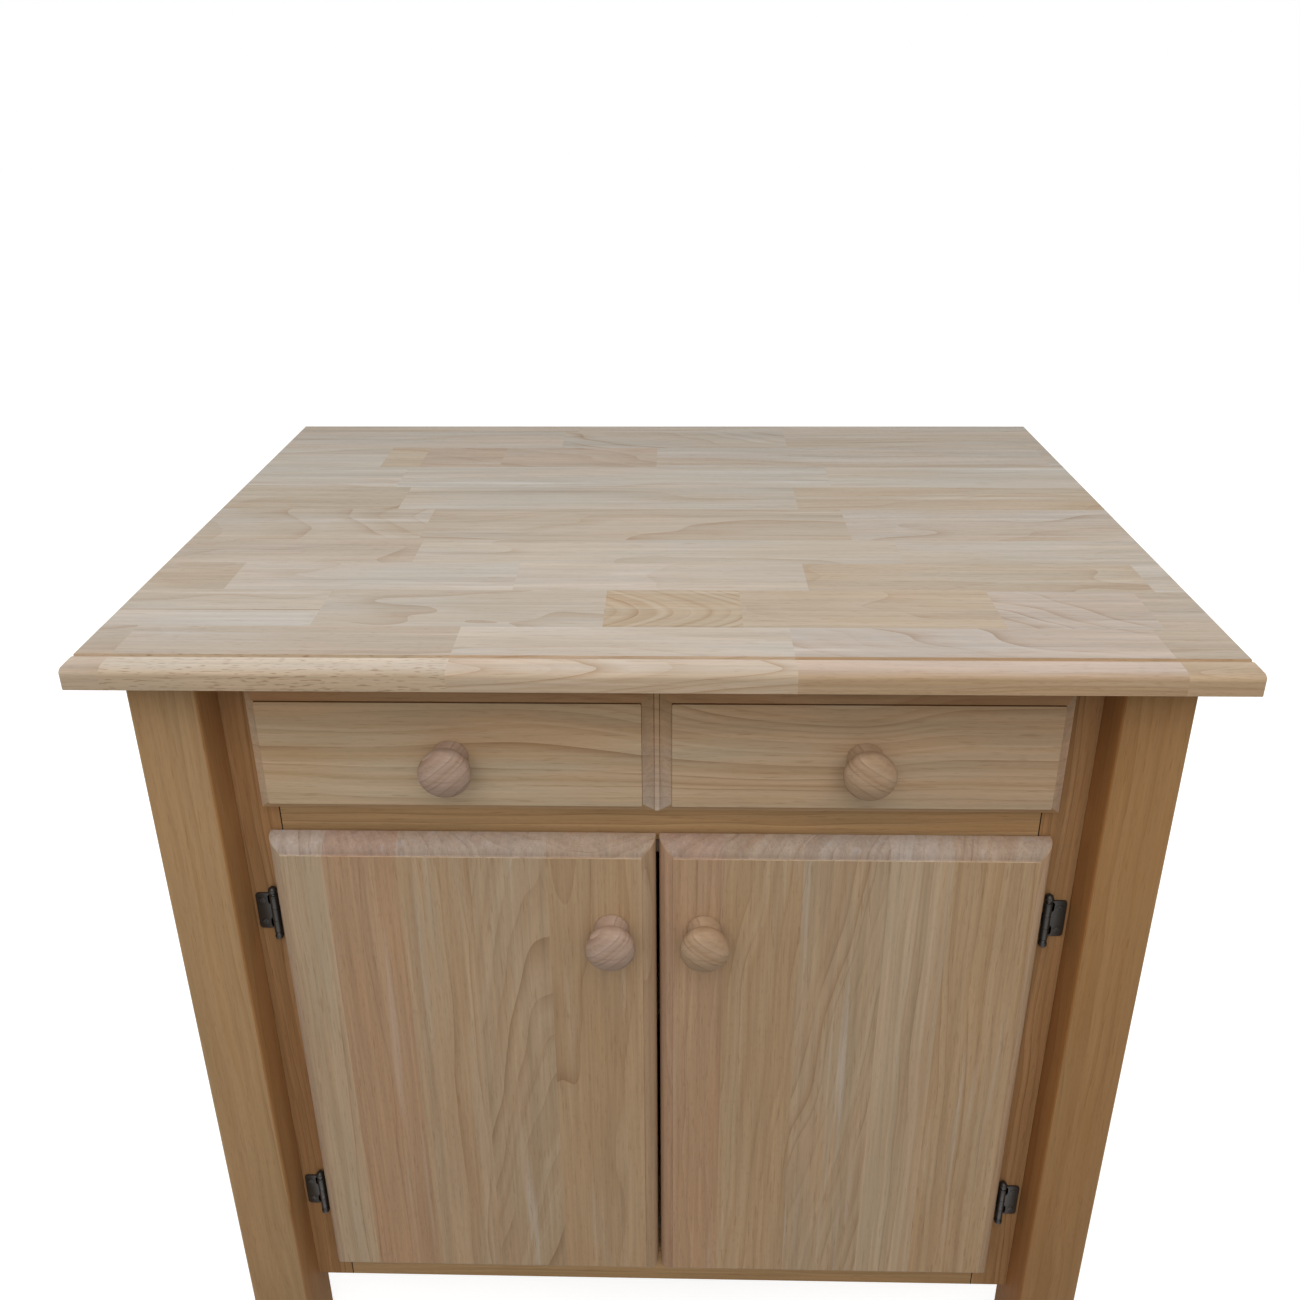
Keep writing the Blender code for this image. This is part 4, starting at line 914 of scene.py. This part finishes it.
def joint_lines():
    """A thin dark sliver where a rail meets a stile: a box's corners, between its lowest and its highest."""
    # The slivers are dark pieces put where the joints only hold shade: a painted shadow
    edges = (box_of("frame_stile_left")[1][0], box_of("frame_stile_right")[0][0])
    shells = []
    for rail in ("middle", "bottom"):
        low, high = box_of(f"frame_{rail}_rail")
        for edge in edges:
            corner = np.array([edge - JOINT_WIDTH / 2, low[1] - JOINT_PROUD, low[2]])
            size = np.array([JOINT_WIDTH, JOINT_WIDTH, high[2] - low[2]])
            shells.append((corner + BOX_CORNERS * size, BOX_FACES))
    points, faces = gathered(shells)
    piece("joint_lines", points, faces, "cabinet", JOINT_SHADOW, LEG_CREASE)


# Hinges, pegs and glides

def hinge_pin(node):
    """A pin with a turned ball on a collar at each end, one end mirrored from the other."""
    low, high = box_of(node)
    tip = (high[2] - low[2]) / 2
    barrel = tip - FINIAL_LENGTH
    neck = FINIAL_LENGTH - 2 * FINIAL_RADIUS
    turn = np.linspace(FINIAL_START, 1.0, FINIAL_STEPS)[:-1] * math.pi
    ball = np.stack([FINIAL_RADIUS * np.sin(turn), tip - FINIAL_RADIUS * (1.0 + np.cos(turn))], axis=1)
    collar = arc(COLLAR_ROUND * FINIAL_RADIUS, neck * COLLAR_RISE, EASE_STEPS)[::-1]
    collar_top = barrel + neck * COLLAR_TOP
    upper = np.concatenate([
        [(PIN_RADIUS, barrel), (COLLAR_WIDEST * FINIAL_RADIUS, barrel)],
        np.stack([COLLAR_RADIUS * FINIAL_RADIUS + collar[:, 0], collar_top - collar[:, 1]], axis=1),
        [(PIN_RADIUS, barrel + neck)],
        ball,
        [(0.0, tip)],
    ])
    profile = np.concatenate([upper[::-1] * (1.0, -1.0), upper])
    points, faces = turned(profile, "Z", middle_of(node), SMALL_STEPS)
    piece(node + "_turned", points, faces, "cabinet", HINGE_BLACK, HINGE_CREASE, (node,))


def plate(low, high):
    """A flat plate seen along Y: rounded rings, drawn in at its two faces by a quarter round."""
    steps = eased_steps(LEAF_EASE, low[1], high[1], EASE_STEPS)
    return stacked([upright_ring(low, high, *step, LEAF_CORNER) for step in steps])


def knuckle(axis, low, high):
    """One knuckle of a hinge: a turned sleeve with eased ends."""
    ease = arc(KNUCKLE_EASE, KNUCKLE_EASE, EASE_STEPS)
    lower = np.stack([BARREL_RADIUS - KNUCKLE_EASE + ease[:, 0], low + ease[:, 1]], axis=1)
    upper = np.stack([BARREL_RADIUS - KNUCKLE_EASE + ease[::-1, 0], high - ease[::-1, 1]], axis=1)
    profile = np.concatenate([[(0.0, low)], lower, upper, [(0.0, high)]])
    return turned(profile, "Z", (axis[0], axis[1], 0.0), KNUCKLE_STEPS)


def hinge_leaf(node, pin, body, on_door):
    """A leaf: its plate, a tongue from it to each knuckle, and the knuckles round the pin."""
    low, high = box_of(node)
    axis = middle_of(pin)
    outward_x = 1.0 if (low[0] + high[0]) / 2 > axis[0] else -1.0
    inner = axis[0] + outward_x * (BARREL_RADIUS + BARREL_GAP)
    outer = high[0] if outward_x > 0.0 else low[0]
    back = high[1]
    front = back - LEAF_THICKNESS
    shells = [plate((min(inner, outer), front, low[2]), (max(inner, outer), back, high[2]))]
    near, far = sorted((axis[0], inner + outward_x * LEAF_CORNER))
    for start, end in DOOR_KNUCKLES if on_door else WING_KNUCKLES:
        gap = 0.0 if on_door else math.copysign(KNUCKLE_GAP, start + end)
        bottom = axis[2] + start * KNUCKLE + gap
        top = axis[2] + end * KNUCKLE + gap
        shells.append(plate((near, front, bottom + KNUCKLE_EASE), (far, back, top - KNUCKLE_EASE)))
        shells.append(knuckle(axis, bottom, top))
    points, faces = gathered([(points, outward(points, faces)) for points, faces in shells])
    piece(node + "_rolled", points, faces, body, HINGE_BLACK, HINGE_CREASE, (node,))


def shelf_peg(node):
    """A peg with a collar against the panel and domed ends, turned about X."""
    low, high = box_of(node)
    side = 1.0 if low[0] > 0.0 else -1.0
    deep, tip = (high[0], low[0]) if side > 0.0 else (low[0], high[0])
    middle = (0.0, (low[1] + high[1]) / 2, high[2] - PEG_RADIUS)
    wall = deep - side * PEG_DEPTH
    dome = arc(PEG_RADIUS, PEG_RADIUS / 2, DOME_STEPS)
    collar = arc(PEG_COLLAR_RADIUS - PEG_RADIUS, PEG_COLLAR / 2, SOFT_STEPS)
    profile = np.concatenate([
        np.stack([dome[:, 0], deep - side * dome[:, 1]], axis=1),
        [(PEG_RADIUS, wall)],
        np.stack([PEG_RADIUS + collar[:, 0], wall - side * collar[:, 1]], axis=1),
        np.stack([PEG_RADIUS + collar[::-1, 0], wall - side * (PEG_COLLAR - collar[::-1, 1])], axis=1)[1:],
        np.stack([dome[::-1, 0], tip + side * dome[::-1, 1]], axis=1),
    ])
    points, faces = turned(profile, "X", middle, SMALL_STEPS)
    piece(node + "_turned", points, faces, "cabinet", STEEL, SMALL_CREASE, (node,))


def glide(node):
    """A domed glide with its nail, turned about Z."""
    low, high = box_of(node)
    across, deep, _ = middle_of(node)
    rim = GLIDE_HEIGHT / 2
    foot = arc(rim, rim, GLIDE_STEPS)
    top_share, side_share = GLIDE_RIM
    profile = np.concatenate([
        [(0.0, 0.0)],
        foot + (GLIDE_RADIUS - rim, 0.0),
        [(GLIDE_RADIUS, side_share * GLIDE_HEIGHT), (top_share * GLIDE_RADIUS, GLIDE_HEIGHT)],
        [(GLIDE_NAIL_RADIUS, GLIDE_HEIGHT), (GLIDE_NAIL_RADIUS, high[2] - low[2] - GLIDE_NAIL_RADIUS)],
        [(0.0, high[2] - low[2])],
    ])
    points, faces = turned(profile, "Z", (across, deep, low[2]), SMALL_STEPS)
    piece(node + "_turned", points, faces, "cabinet", PALE_PLASTIC, SMALL_CREASE, (node,))


# Screws: rings, rim and cross are shares of the head's radius or of its dome

SCREW_RINGS = np.array([0.0, 0.10, 0.20, 0.30, 0.40, 0.50, 0.60, 0.72, 0.86, 0.96, 1.0, 1.0, 0.0])
SCREW_FALL = 0.75
SCREW_RIM = 0.3
CROSS_HALF = 0.16
CROSS_SLOPE = 0.06
CROSS_REACH = 0.68
CROSS_END = 0.14
CROSS_DEPTH = 0.75


def screw(place, axis, facing, radius, dome):
    """A screw's head: a low dome over its radius, with a cross cut into it by the distance from two arms.

    It stands on a place and faces along an axis, one way or the other, and its back is sunk by its own dome.
    """
    angle = np.linspace(0.0, 2 * math.pi, SCREW_STEPS, endpoint=False)
    reach = np.repeat(SCREW_RINGS[:, None], len(angle), axis=1)
    height = dome * np.sqrt(1.0 - SCREW_FALL * reach ** 2)
    beside = np.minimum(np.abs(np.cos(angle)), np.abs(np.sin(angle))) * reach
    arm = np.clip((CROSS_HALF - beside) / CROSS_SLOPE, 0.0, 1.0)
    arm = arm * np.clip((CROSS_REACH - reach) / CROSS_END, 0.0, 1.0)
    height = height - arm * dome * CROSS_DEPTH
    height[-3] = dome * SCREW_RIM
    height[-2:] = -dome
    points, faces = spun(reach * radius, height * facing, angle)
    return points[:, AXIS_ORDER[axis]] + np.asarray(place), faces


def screws(name, body, heads, finish):
    """Several screws' heads as one piece."""
    points, faces = gathered([screw(*head) for head in heads])
    piece(name, points, faces, body, finish, SCREW_CREASE)


def hinge_screws(side, height):
    """The screws of one hinge: two in the wing on the frame, two in the leaf on the door's back."""
    wing_low, wing_high = box_of(f"hinge_wing_{side}_{height}")
    leaf_low, leaf_high = box_of(f"hinge_door_leaf_{side}_{height}")
    toward = 1.0 if side == "right" else -1.0
    outer = wing_high[0] if side == "right" else wing_low[0]
    inner = leaf_low[0] if side == "right" else leaf_high[0]
    middle = (wing_low[2] + wing_high[2]) / 2
    wing_face = wing_high[1] - LEAF_THICKNESS
    leaf_face = box_of(f"door_{side}")[1][1] + LEAF_GAP + LEAF_THICKNESS
    wing_heads = []
    leaf_heads = []
    for rise in (-LEAF_SCREW_SPREAD, LEAF_SCREW_SPREAD):
        wing_place = (outer - toward * WING_SCREW_INSET, wing_face, middle + rise)
        leaf_place = (inner + toward * LEAF_SCREW_INSET, leaf_face, middle + rise)
        wing_heads.append((wing_place, "Y", -1.0, *WING_SCREW))
        leaf_heads.append((leaf_place, "Y", 1.0, *LEAF_SCREW))
    screws(f"hinge_wing_screws_{side}_{height}", "cabinet", wing_heads, HINGE_BLACK)
    screws(f"hinge_leaf_screws_{side}_{height}", f"{side}_door", leaf_heads, HINGE_BLACK)


def fixing_screws():
    """The screws that hold the knobs, the drawer's front, the strike plates and the catch."""
    inside = box_of("drawer_box_front")[0][1] + BOX_STOCK
    drawer_heads = []
    for side in ("left", "right"):
        across, _, up = middle_of(f"drawer_knob_{side}")
        drawer_heads.append(((across, inside, up), "Y", 1.0, *KNOB_SCREW))
        for off in (-BOX_SCREW_SPREAD, BOX_SCREW_SPREAD):
            drawer_heads.append(((across + off, inside, up), "Y", 1.0, *BOX_SCREW))
        across, _, up = middle_of(f"door_knob_{side}")
        door_back = box_of(f"door_{side}")[1][1]
        strike = f"strike_plate_{side}"
        strike_x, _, strike_z = middle_of(strike)
        door_heads = [((across, door_back, up), "Y", 1.0, *KNOB_SCREW),
                      ((strike_x, box_of(strike)[1][1], strike_z), "Y", 1.0, *STRIKE_SCREW)]
        screws(f"door_screws_{side}", f"{side}_door", door_heads, STEEL)
    screws("drawer_screws", "drawer", drawer_heads, STEEL)
    low, high = box_of("door_catch")
    catch_heads = []
    for ear in (low[0] + CATCH_EAR / 2, high[0] - CATCH_EAR / 2):
        place = (ear, (low[1] + high[1]) / 2, high[2] - CATCH_EAR_THICKNESS)
        catch_heads.append((place, "Z", -1.0, *CATCH_SCREW))
    screws("catch_screws", "cabinet", catch_heads, STEEL)


# Metal and plastic: scales of the grain, and each roughness with what the grain adds to it

BLACK_SCALE = (900.0, 900.0, 900.0)
DRAWN_SCALE = (60.0, 2400.0, 2400.0)
PLASTIC_SCALE = (1600.0, 1600.0, 1600.0)
BLACK_ROUGHNESS = (0.28, 0.20)
DRAWN_ROUGHNESS = (0.24, 0.18)
PLASTIC_ROUGHNESS = (0.5, 0.0)
PLASTIC_SPECULAR = 0.4
PLASTIC_RELIEF = 0.0002


def grained(name, first, second, scale, roughness, detail=2.0, metallic=0.0, specular=0.5, relief=0.0):
    """A finish that runs between two colours, and from a roughness up by a gain, with a fine noise.

    A relief is the height of the same noise as a bump.
    """
    rough, gain = roughness
    made, tree, shader = plain_material(name, first, rough, metallic, specular)
    seen = put(tree, "ShaderNodeTexCoord").outputs["Object"]
    grain = streaks(tree, seen, scale, detail)
    tree.links.new(mix(tree, grain, (*first, 1.0), (*second, 1.0)), shader.inputs["Base Color"])
    if gain:
        tree.links.new(maths(tree, "MULTIPLY_ADD", grain, gain, rough), shader.inputs["Roughness"])
    if relief:
        bumped = {"Height": grain, "Strength": BUMP_STRENGTH, "Distance": relief}
        tree.links.new(put(tree, "ShaderNodeBump", bumped).outputs[0], shader.inputs["Normal"])
    return made


def moulded_plastic(name, first, second):
    """Matte moulded plastic with a fine spark-eroded grain."""
    return grained(name, first, second, PLASTIC_SCALE, PLASTIC_ROUGHNESS, detail=1.0,
                   specular=PLASTIC_SPECULAR, relief=PLASTIC_RELIEF)


WORKTOP_WOOD = wood("worktop_wood", WORKTOP_TONES, "X", ring=0.0065, lines=0.75, pores=0.22, fibres=0.36,
                    staves="painted", wisps=0.36, drift=0.45)
DOOR_WOOD = wood("door_wood", DOOR_TONES, "Z", ring=0.0070, lines=0.65, pores=0.22, fibres=0.40,
                 staves="painted", wisps=0.30)
DRAWER_WOOD = wood("drawer_wood", DRAWER_TONES, "X", ring=0.0092, lines=0.90, heart=DRAWER_HEART, pores=0.08,
                   fibres=0.28, staves="painted", bends=DRAWER_BENDS, drift=0.90)
JOINT_SHADOW, _, _ = plain_material("painted_joint_shadow", (0.030, 0.018, 0.010), roughness=0.9, specular=0.1)
HINGE_BLACK = grained("satin_black", (0.014, 0.012, 0.010), (0.030, 0.026, 0.022), BLACK_SCALE,
                      BLACK_ROUGHNESS)
STEEL = grained("zinc_steel", (0.500, 0.500, 0.490), (0.640, 0.640, 0.630), DRAWN_SCALE,
                DRAWN_ROUGHNESS, metallic=1.0)
BROWN_PLASTIC = moulded_plastic("brown_plastic", (0.150, 0.095, 0.055), (0.180, 0.115, 0.070))
PALE_PLASTIC = moulded_plastic("pale_plastic", (0.600, 0.580, 0.540), (0.650, 0.630, 0.590))

# Pieces; each side has the seed of its door's draws, the lean of its knobs' rings, and its tones
SIDES = (("left", 11, -0.9, LEG_TONES, KNOB_TONES), ("right", 12, 0.7, RIGHT_LEG_TONES, RIGHT_KNOB_TONES))
HEART_SEED = 3
BOARD_RUN = (-9.0, 9.0)
LEG_HEART = (0.05, 0.11)
KNOB_HEART = (0.0, -0.02, -0.12)
draw_hearts = np.random.default_rng(HEART_SEED)

worktop()
drawer_front()
for side, seed, slope, leg_tones, knob_tones in SIDES:
    door(side, seed)
    for end in ("front", "back"):
        node = f"leg_{end}_{side}"
        across, deep, _ = middle_of(node)
        heart = (draw_hearts.uniform(*BOARD_RUN), deep + LEG_HEART[0], LEG_HEART[1] - across)
        leg(node, wood(node + "_wood", leg_tones, "Z", ring=0.010, lines=0.60, heart=heart, pores=0.10,
                       fibres=0.26, staves="painted"))
        glide(f"glide_{end}_{side}")
        shelf_peg(f"shelf_peg_{end}_{side}")
    for kind, body in (("drawer", "drawer"), ("door", f"{side}_door")):
        node = f"{kind}_knob_{side}"
        heart = middle_of(node) + KNOB_HEART
        knob(node, body, wood(node + "_wood", knob_tones, "X", ring=0.0085, lines=0.95, heart=heart,
                              lean=slope, pores=0.10, fibres=0.26))
    for height in ("lower", "upper"):
        pin = f"hinge_pin_{side}_{height}"
        hinge_pin(pin)
        hinge_leaf(f"hinge_wing_{side}_{height}", pin, "cabinet", False)
        hinge_leaf(f"hinge_door_leaf_{side}_{height}", pin, f"{side}_door", True)
        hinge_screws(side, height)
fixing_screws()
joint_lines()

# Finishes of the pieces that stay as they are, by the start of their names
BOARDS = {
    "frame_stile": ("Z", SHADED_STILE_TONES), "frame_top_rail": ("X", SHADED_TOP_RAIL_TONES),
    "frame_middle_rail": ("X", RAIL_TONES), "frame_bottom_rail": ("X", RAIL_TONES),
    "side_apron": ("Y", LEG_TONES), "side_lower_rail": ("Y", LEG_TONES), "back_apron": ("X", LEG_TONES),
    "back_lower_rail": ("X", LEG_TONES), "floor_cleat": ("Y", INSIDE_TONES),
    "drawer_runner": ("Y", INSIDE_TONES), "drawer_side": ("Y", INSIDE_TONES),
    "drawer_box": ("X", INSIDE_TONES),
}
PANELS = {
    "side_panel": ("Z", RAIL_TONES), "back_panel": ("Z", INSIDE_TONES), "cabinet_floor": ("X", INSIDE_TONES),
    "shelf": ("X", INSIDE_TONES), "drawer_bottom": ("X", INSIDE_TONES),
}
FITTINGS = {"strike_plate": STEEL, "door_catch": BROWN_PLASTIC}
BOARD_HEART_LOW = (BOARD_RUN[0], -0.10, 0.05)
BOARD_HEART_HIGH = (BOARD_RUN[1], 0.10, 0.14)
PANEL_HEART = (0.0, 0.013, 0.05)
PANEL_STAVE = 0.064


def entry_of(table, node):
    """The entry of a table whose key starts the node's name, or None."""
    return next((entry for start, entry in table.items() if node.startswith(start)), None)


def dress(node):
    """The finish of a node: a board's rings lie about a heart drawn near it, a panel is glued from staves."""
    board = entry_of(BOARDS, node)
    if board:
        grain, tones = board
        x, y, z = middle_of(node)
        turned_middle = {"X": (x, y, z), "Y": (y, -x, z), "Z": (z, y, -x)}[grain]
        heart = turned_middle + draw_hearts.uniform(BOARD_HEART_LOW, BOARD_HEART_HIGH)
        return wood(node + "_wood", tones, grain, ring=0.0080, lines=1.0, heart=heart, lean=0.01, fibres=0.45)
    panel = entry_of(PANELS, node)
    if panel:
        grain, tones = panel
        return wood(node + "_wood", tones, grain, ring=0.0080, lines=0.60, heart=PANEL_HEART, lean=0.02,
                    staves=PANEL_STAVE)
    return entry_of(FITTINGS, node)


for node, made in sorted(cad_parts.items()):
    if not made.hide_render:
        made.data.materials.clear()
        made.data.materials.append(dress(node))


# Floor, light and camera

FLOOR_REACH = 14.0
FLOOR_SQUARES = 8
FLOOR_DROP = 0.0002
FLOOR_BOUNCE = (0.270, 0.255, 0.235)
FLOOR_SHOWN = (0.500, 0.500, 0.500, 1.0)
FLOOR_GLOW = 0.78
SKY_LOW = 0.34
SKY_HIGH = 0.52
WHITE = (1.0, 1.0, 1.0, 1.0)
PHOTO_SIDE = 1300.0
FOCAL_PIXELS = 1027.5
OPTICAL_ROW = 443.7
CAMERA_PLACE = (0.0125, -0.95245, 1.3424)
CAMERA_TURN = (0.35018, 0.02261, -0.00729)
CLIP_START = 0.02
SENSOR_WIDTH = 36.0

# Lamps: a name, a place, what it faces, its size, its power and its colour
SOFTBOXES = (
    ("overhead_softbox", (0.0, -0.9, 3.1), (0.0, -0.3, 0.9), (3.0, 1.8), 30.0, (1.0, 0.995, 0.985)),
    ("front_softbox", (0.0, -2.5, 2.9), (0.0, -0.2, 0.7), (2.6, 1.6), 29.0, (1.0, 0.960, 0.895)),
    ("left_softbox", (-2.6, 0.35, 0.6), (0.0, 0.1, 0.5), (1.8, 0.8), 14.0, (1.0, 0.980, 0.950)),
    ("right_softbox", (2.6, 0.35, 0.6), (0.0, 0.1, 0.5), (1.8, 0.8), 14.0, (1.0, 0.980, 0.950)),
    ("back_softbox", (0.0, 2.7, 0.6), (0.0, 0.1, 0.5), (1.8, 0.8), 14.0, (1.0, 0.980, 0.950)),
)


def seen_directly(tree):
    """One for camera, glossy and transmission rays, which see the white surroundings."""
    path = put(tree, "ShaderNodeLightPath")
    shown = maths(tree, "MAXIMUM", path.outputs["Is Camera Ray"], path.outputs["Is Glossy Ray"])
    return maths(tree, "MAXIMUM", shown, path.outputs["Is Transmission Ray"])


def floor():
    """A wide pale floor that looks white and keeps the island's shadow."""
    count = FLOOR_SQUARES + 1
    steps = np.linspace(-FLOOR_REACH, FLOOR_REACH, count)
    across, deep = np.meshgrid(steps, steps)
    points = np.stack([across.ravel(), deep.ravel(), np.full(across.size, -FLOOR_DROP)], axis=1)
    first = (np.arange(FLOOR_SQUARES)[:, None] * count + np.arange(FLOOR_SQUARES)).ravel()
    squares = np.stack([first, first + 1, first + count + 1, first + count], axis=1)
    mesh = bpy.data.meshes.new("floor")
    mesh.from_pydata(points.tolist(), [], squares.tolist())
    made, tree, shader = plain_material("pale_floor", FLOOR_BOUNCE, roughness=0.9, specular=0.0)
    lit = put(tree, "ShaderNodeBsdfDiffuse", {"Color": FLOOR_SHOWN})
    glow = put(tree, "ShaderNodeEmission", {"Color": WHITE, "Strength": FLOOR_GLOW})
    white = put(tree, "ShaderNodeAddShader", {0: lit.outputs[0], 1: glow.outputs[0]})
    shaders = {0: seen_directly(tree), 1: shader.outputs[0], 2: white.outputs[0]}
    both = put(tree, "ShaderNodeMixShader", shaders)
    tree.links.new(both.outputs[0], tree.nodes["Material Output"].inputs["Surface"])
    mesh.materials.append(made)
    laid = bpy.data.objects.new("floor", mesh)
    bpy.context.scene.collection.objects.link(laid)


def softbox(name, place, aim, size, power, colour):
    """A rectangular lamp at a place, turned to face another."""
    lamp = bpy.data.lights.new(name, "AREA")
    lamp.shape = "RECTANGLE"
    lamp.size, lamp.size_y = size
    lamp.energy = power
    lamp.color = colour
    hung = bpy.data.objects.new(name, lamp)
    hung.location = place
    hung.rotation_euler = (Vector(aim) - Vector(place)).to_track_quat("-Z", "Y").to_euler()
    hung.visible_camera = False
    bpy.context.scene.collection.objects.link(hung)


def sky():
    """A soft sky, brighter overhead, which looks white where it is seen directly."""
    world = bpy.data.worlds.new("studio")
    bpy.context.scene.world = world
    world.use_nodes = True
    tree = world.node_tree
    background = tree.nodes["Background"]
    toward = put(tree, "ShaderNodeTexCoord").outputs["Generated"]
    up = put(tree, "ShaderNodeSeparateXYZ", {0: toward}).outputs[2]
    inputs = {"Value": up, "From Min": 0.0, "From Max": 1.0, "To Min": SKY_LOW, "To Max": SKY_HIGH}
    glow = put(tree, "ShaderNodeMapRange", inputs).outputs[0]
    level = put(tree, "ShaderNodeMix", {0: seen_directly(tree), 2: glow, 3: 1.0}).outputs[0]
    tree.links.new(level, background.inputs["Strength"])
    background.inputs["Color"].default_value = WHITE


def camera():
    """The photograph's viewpoint: three turns from looking along +Y, a frame set below the optical axis."""
    pitch, yaw, roll = CAMERA_TURN
    made = bpy.data.cameras.new("photo_camera")
    made.sensor_width = SENSOR_WIDTH
    made.lens = SENSOR_WIDTH * FOCAL_PIXELS / PHOTO_SIDE
    made.shift_y = (OPTICAL_ROW - PHOTO_SIDE / 2) / PHOTO_SIDE
    made.clip_start = CLIP_START
    placed = bpy.data.objects.new("photo_camera", made)
    bpy.context.scene.collection.objects.link(placed)
    turn = Matrix.Rotation(yaw, 3, "Z") @ Matrix.Rotation(math.pi / 2 - pitch, 3, "X")
    placed.location = CAMERA_PLACE
    placed.rotation_euler = (turn @ Matrix.Rotation(roll, 3, "Z")).to_euler()
    bpy.context.scene.camera = placed


floor()
sky()
for lamp in SOFTBOXES:
    softbox(*lamp)
camera()
bpy.context.scene.view_settings.view_transform = "Standard"
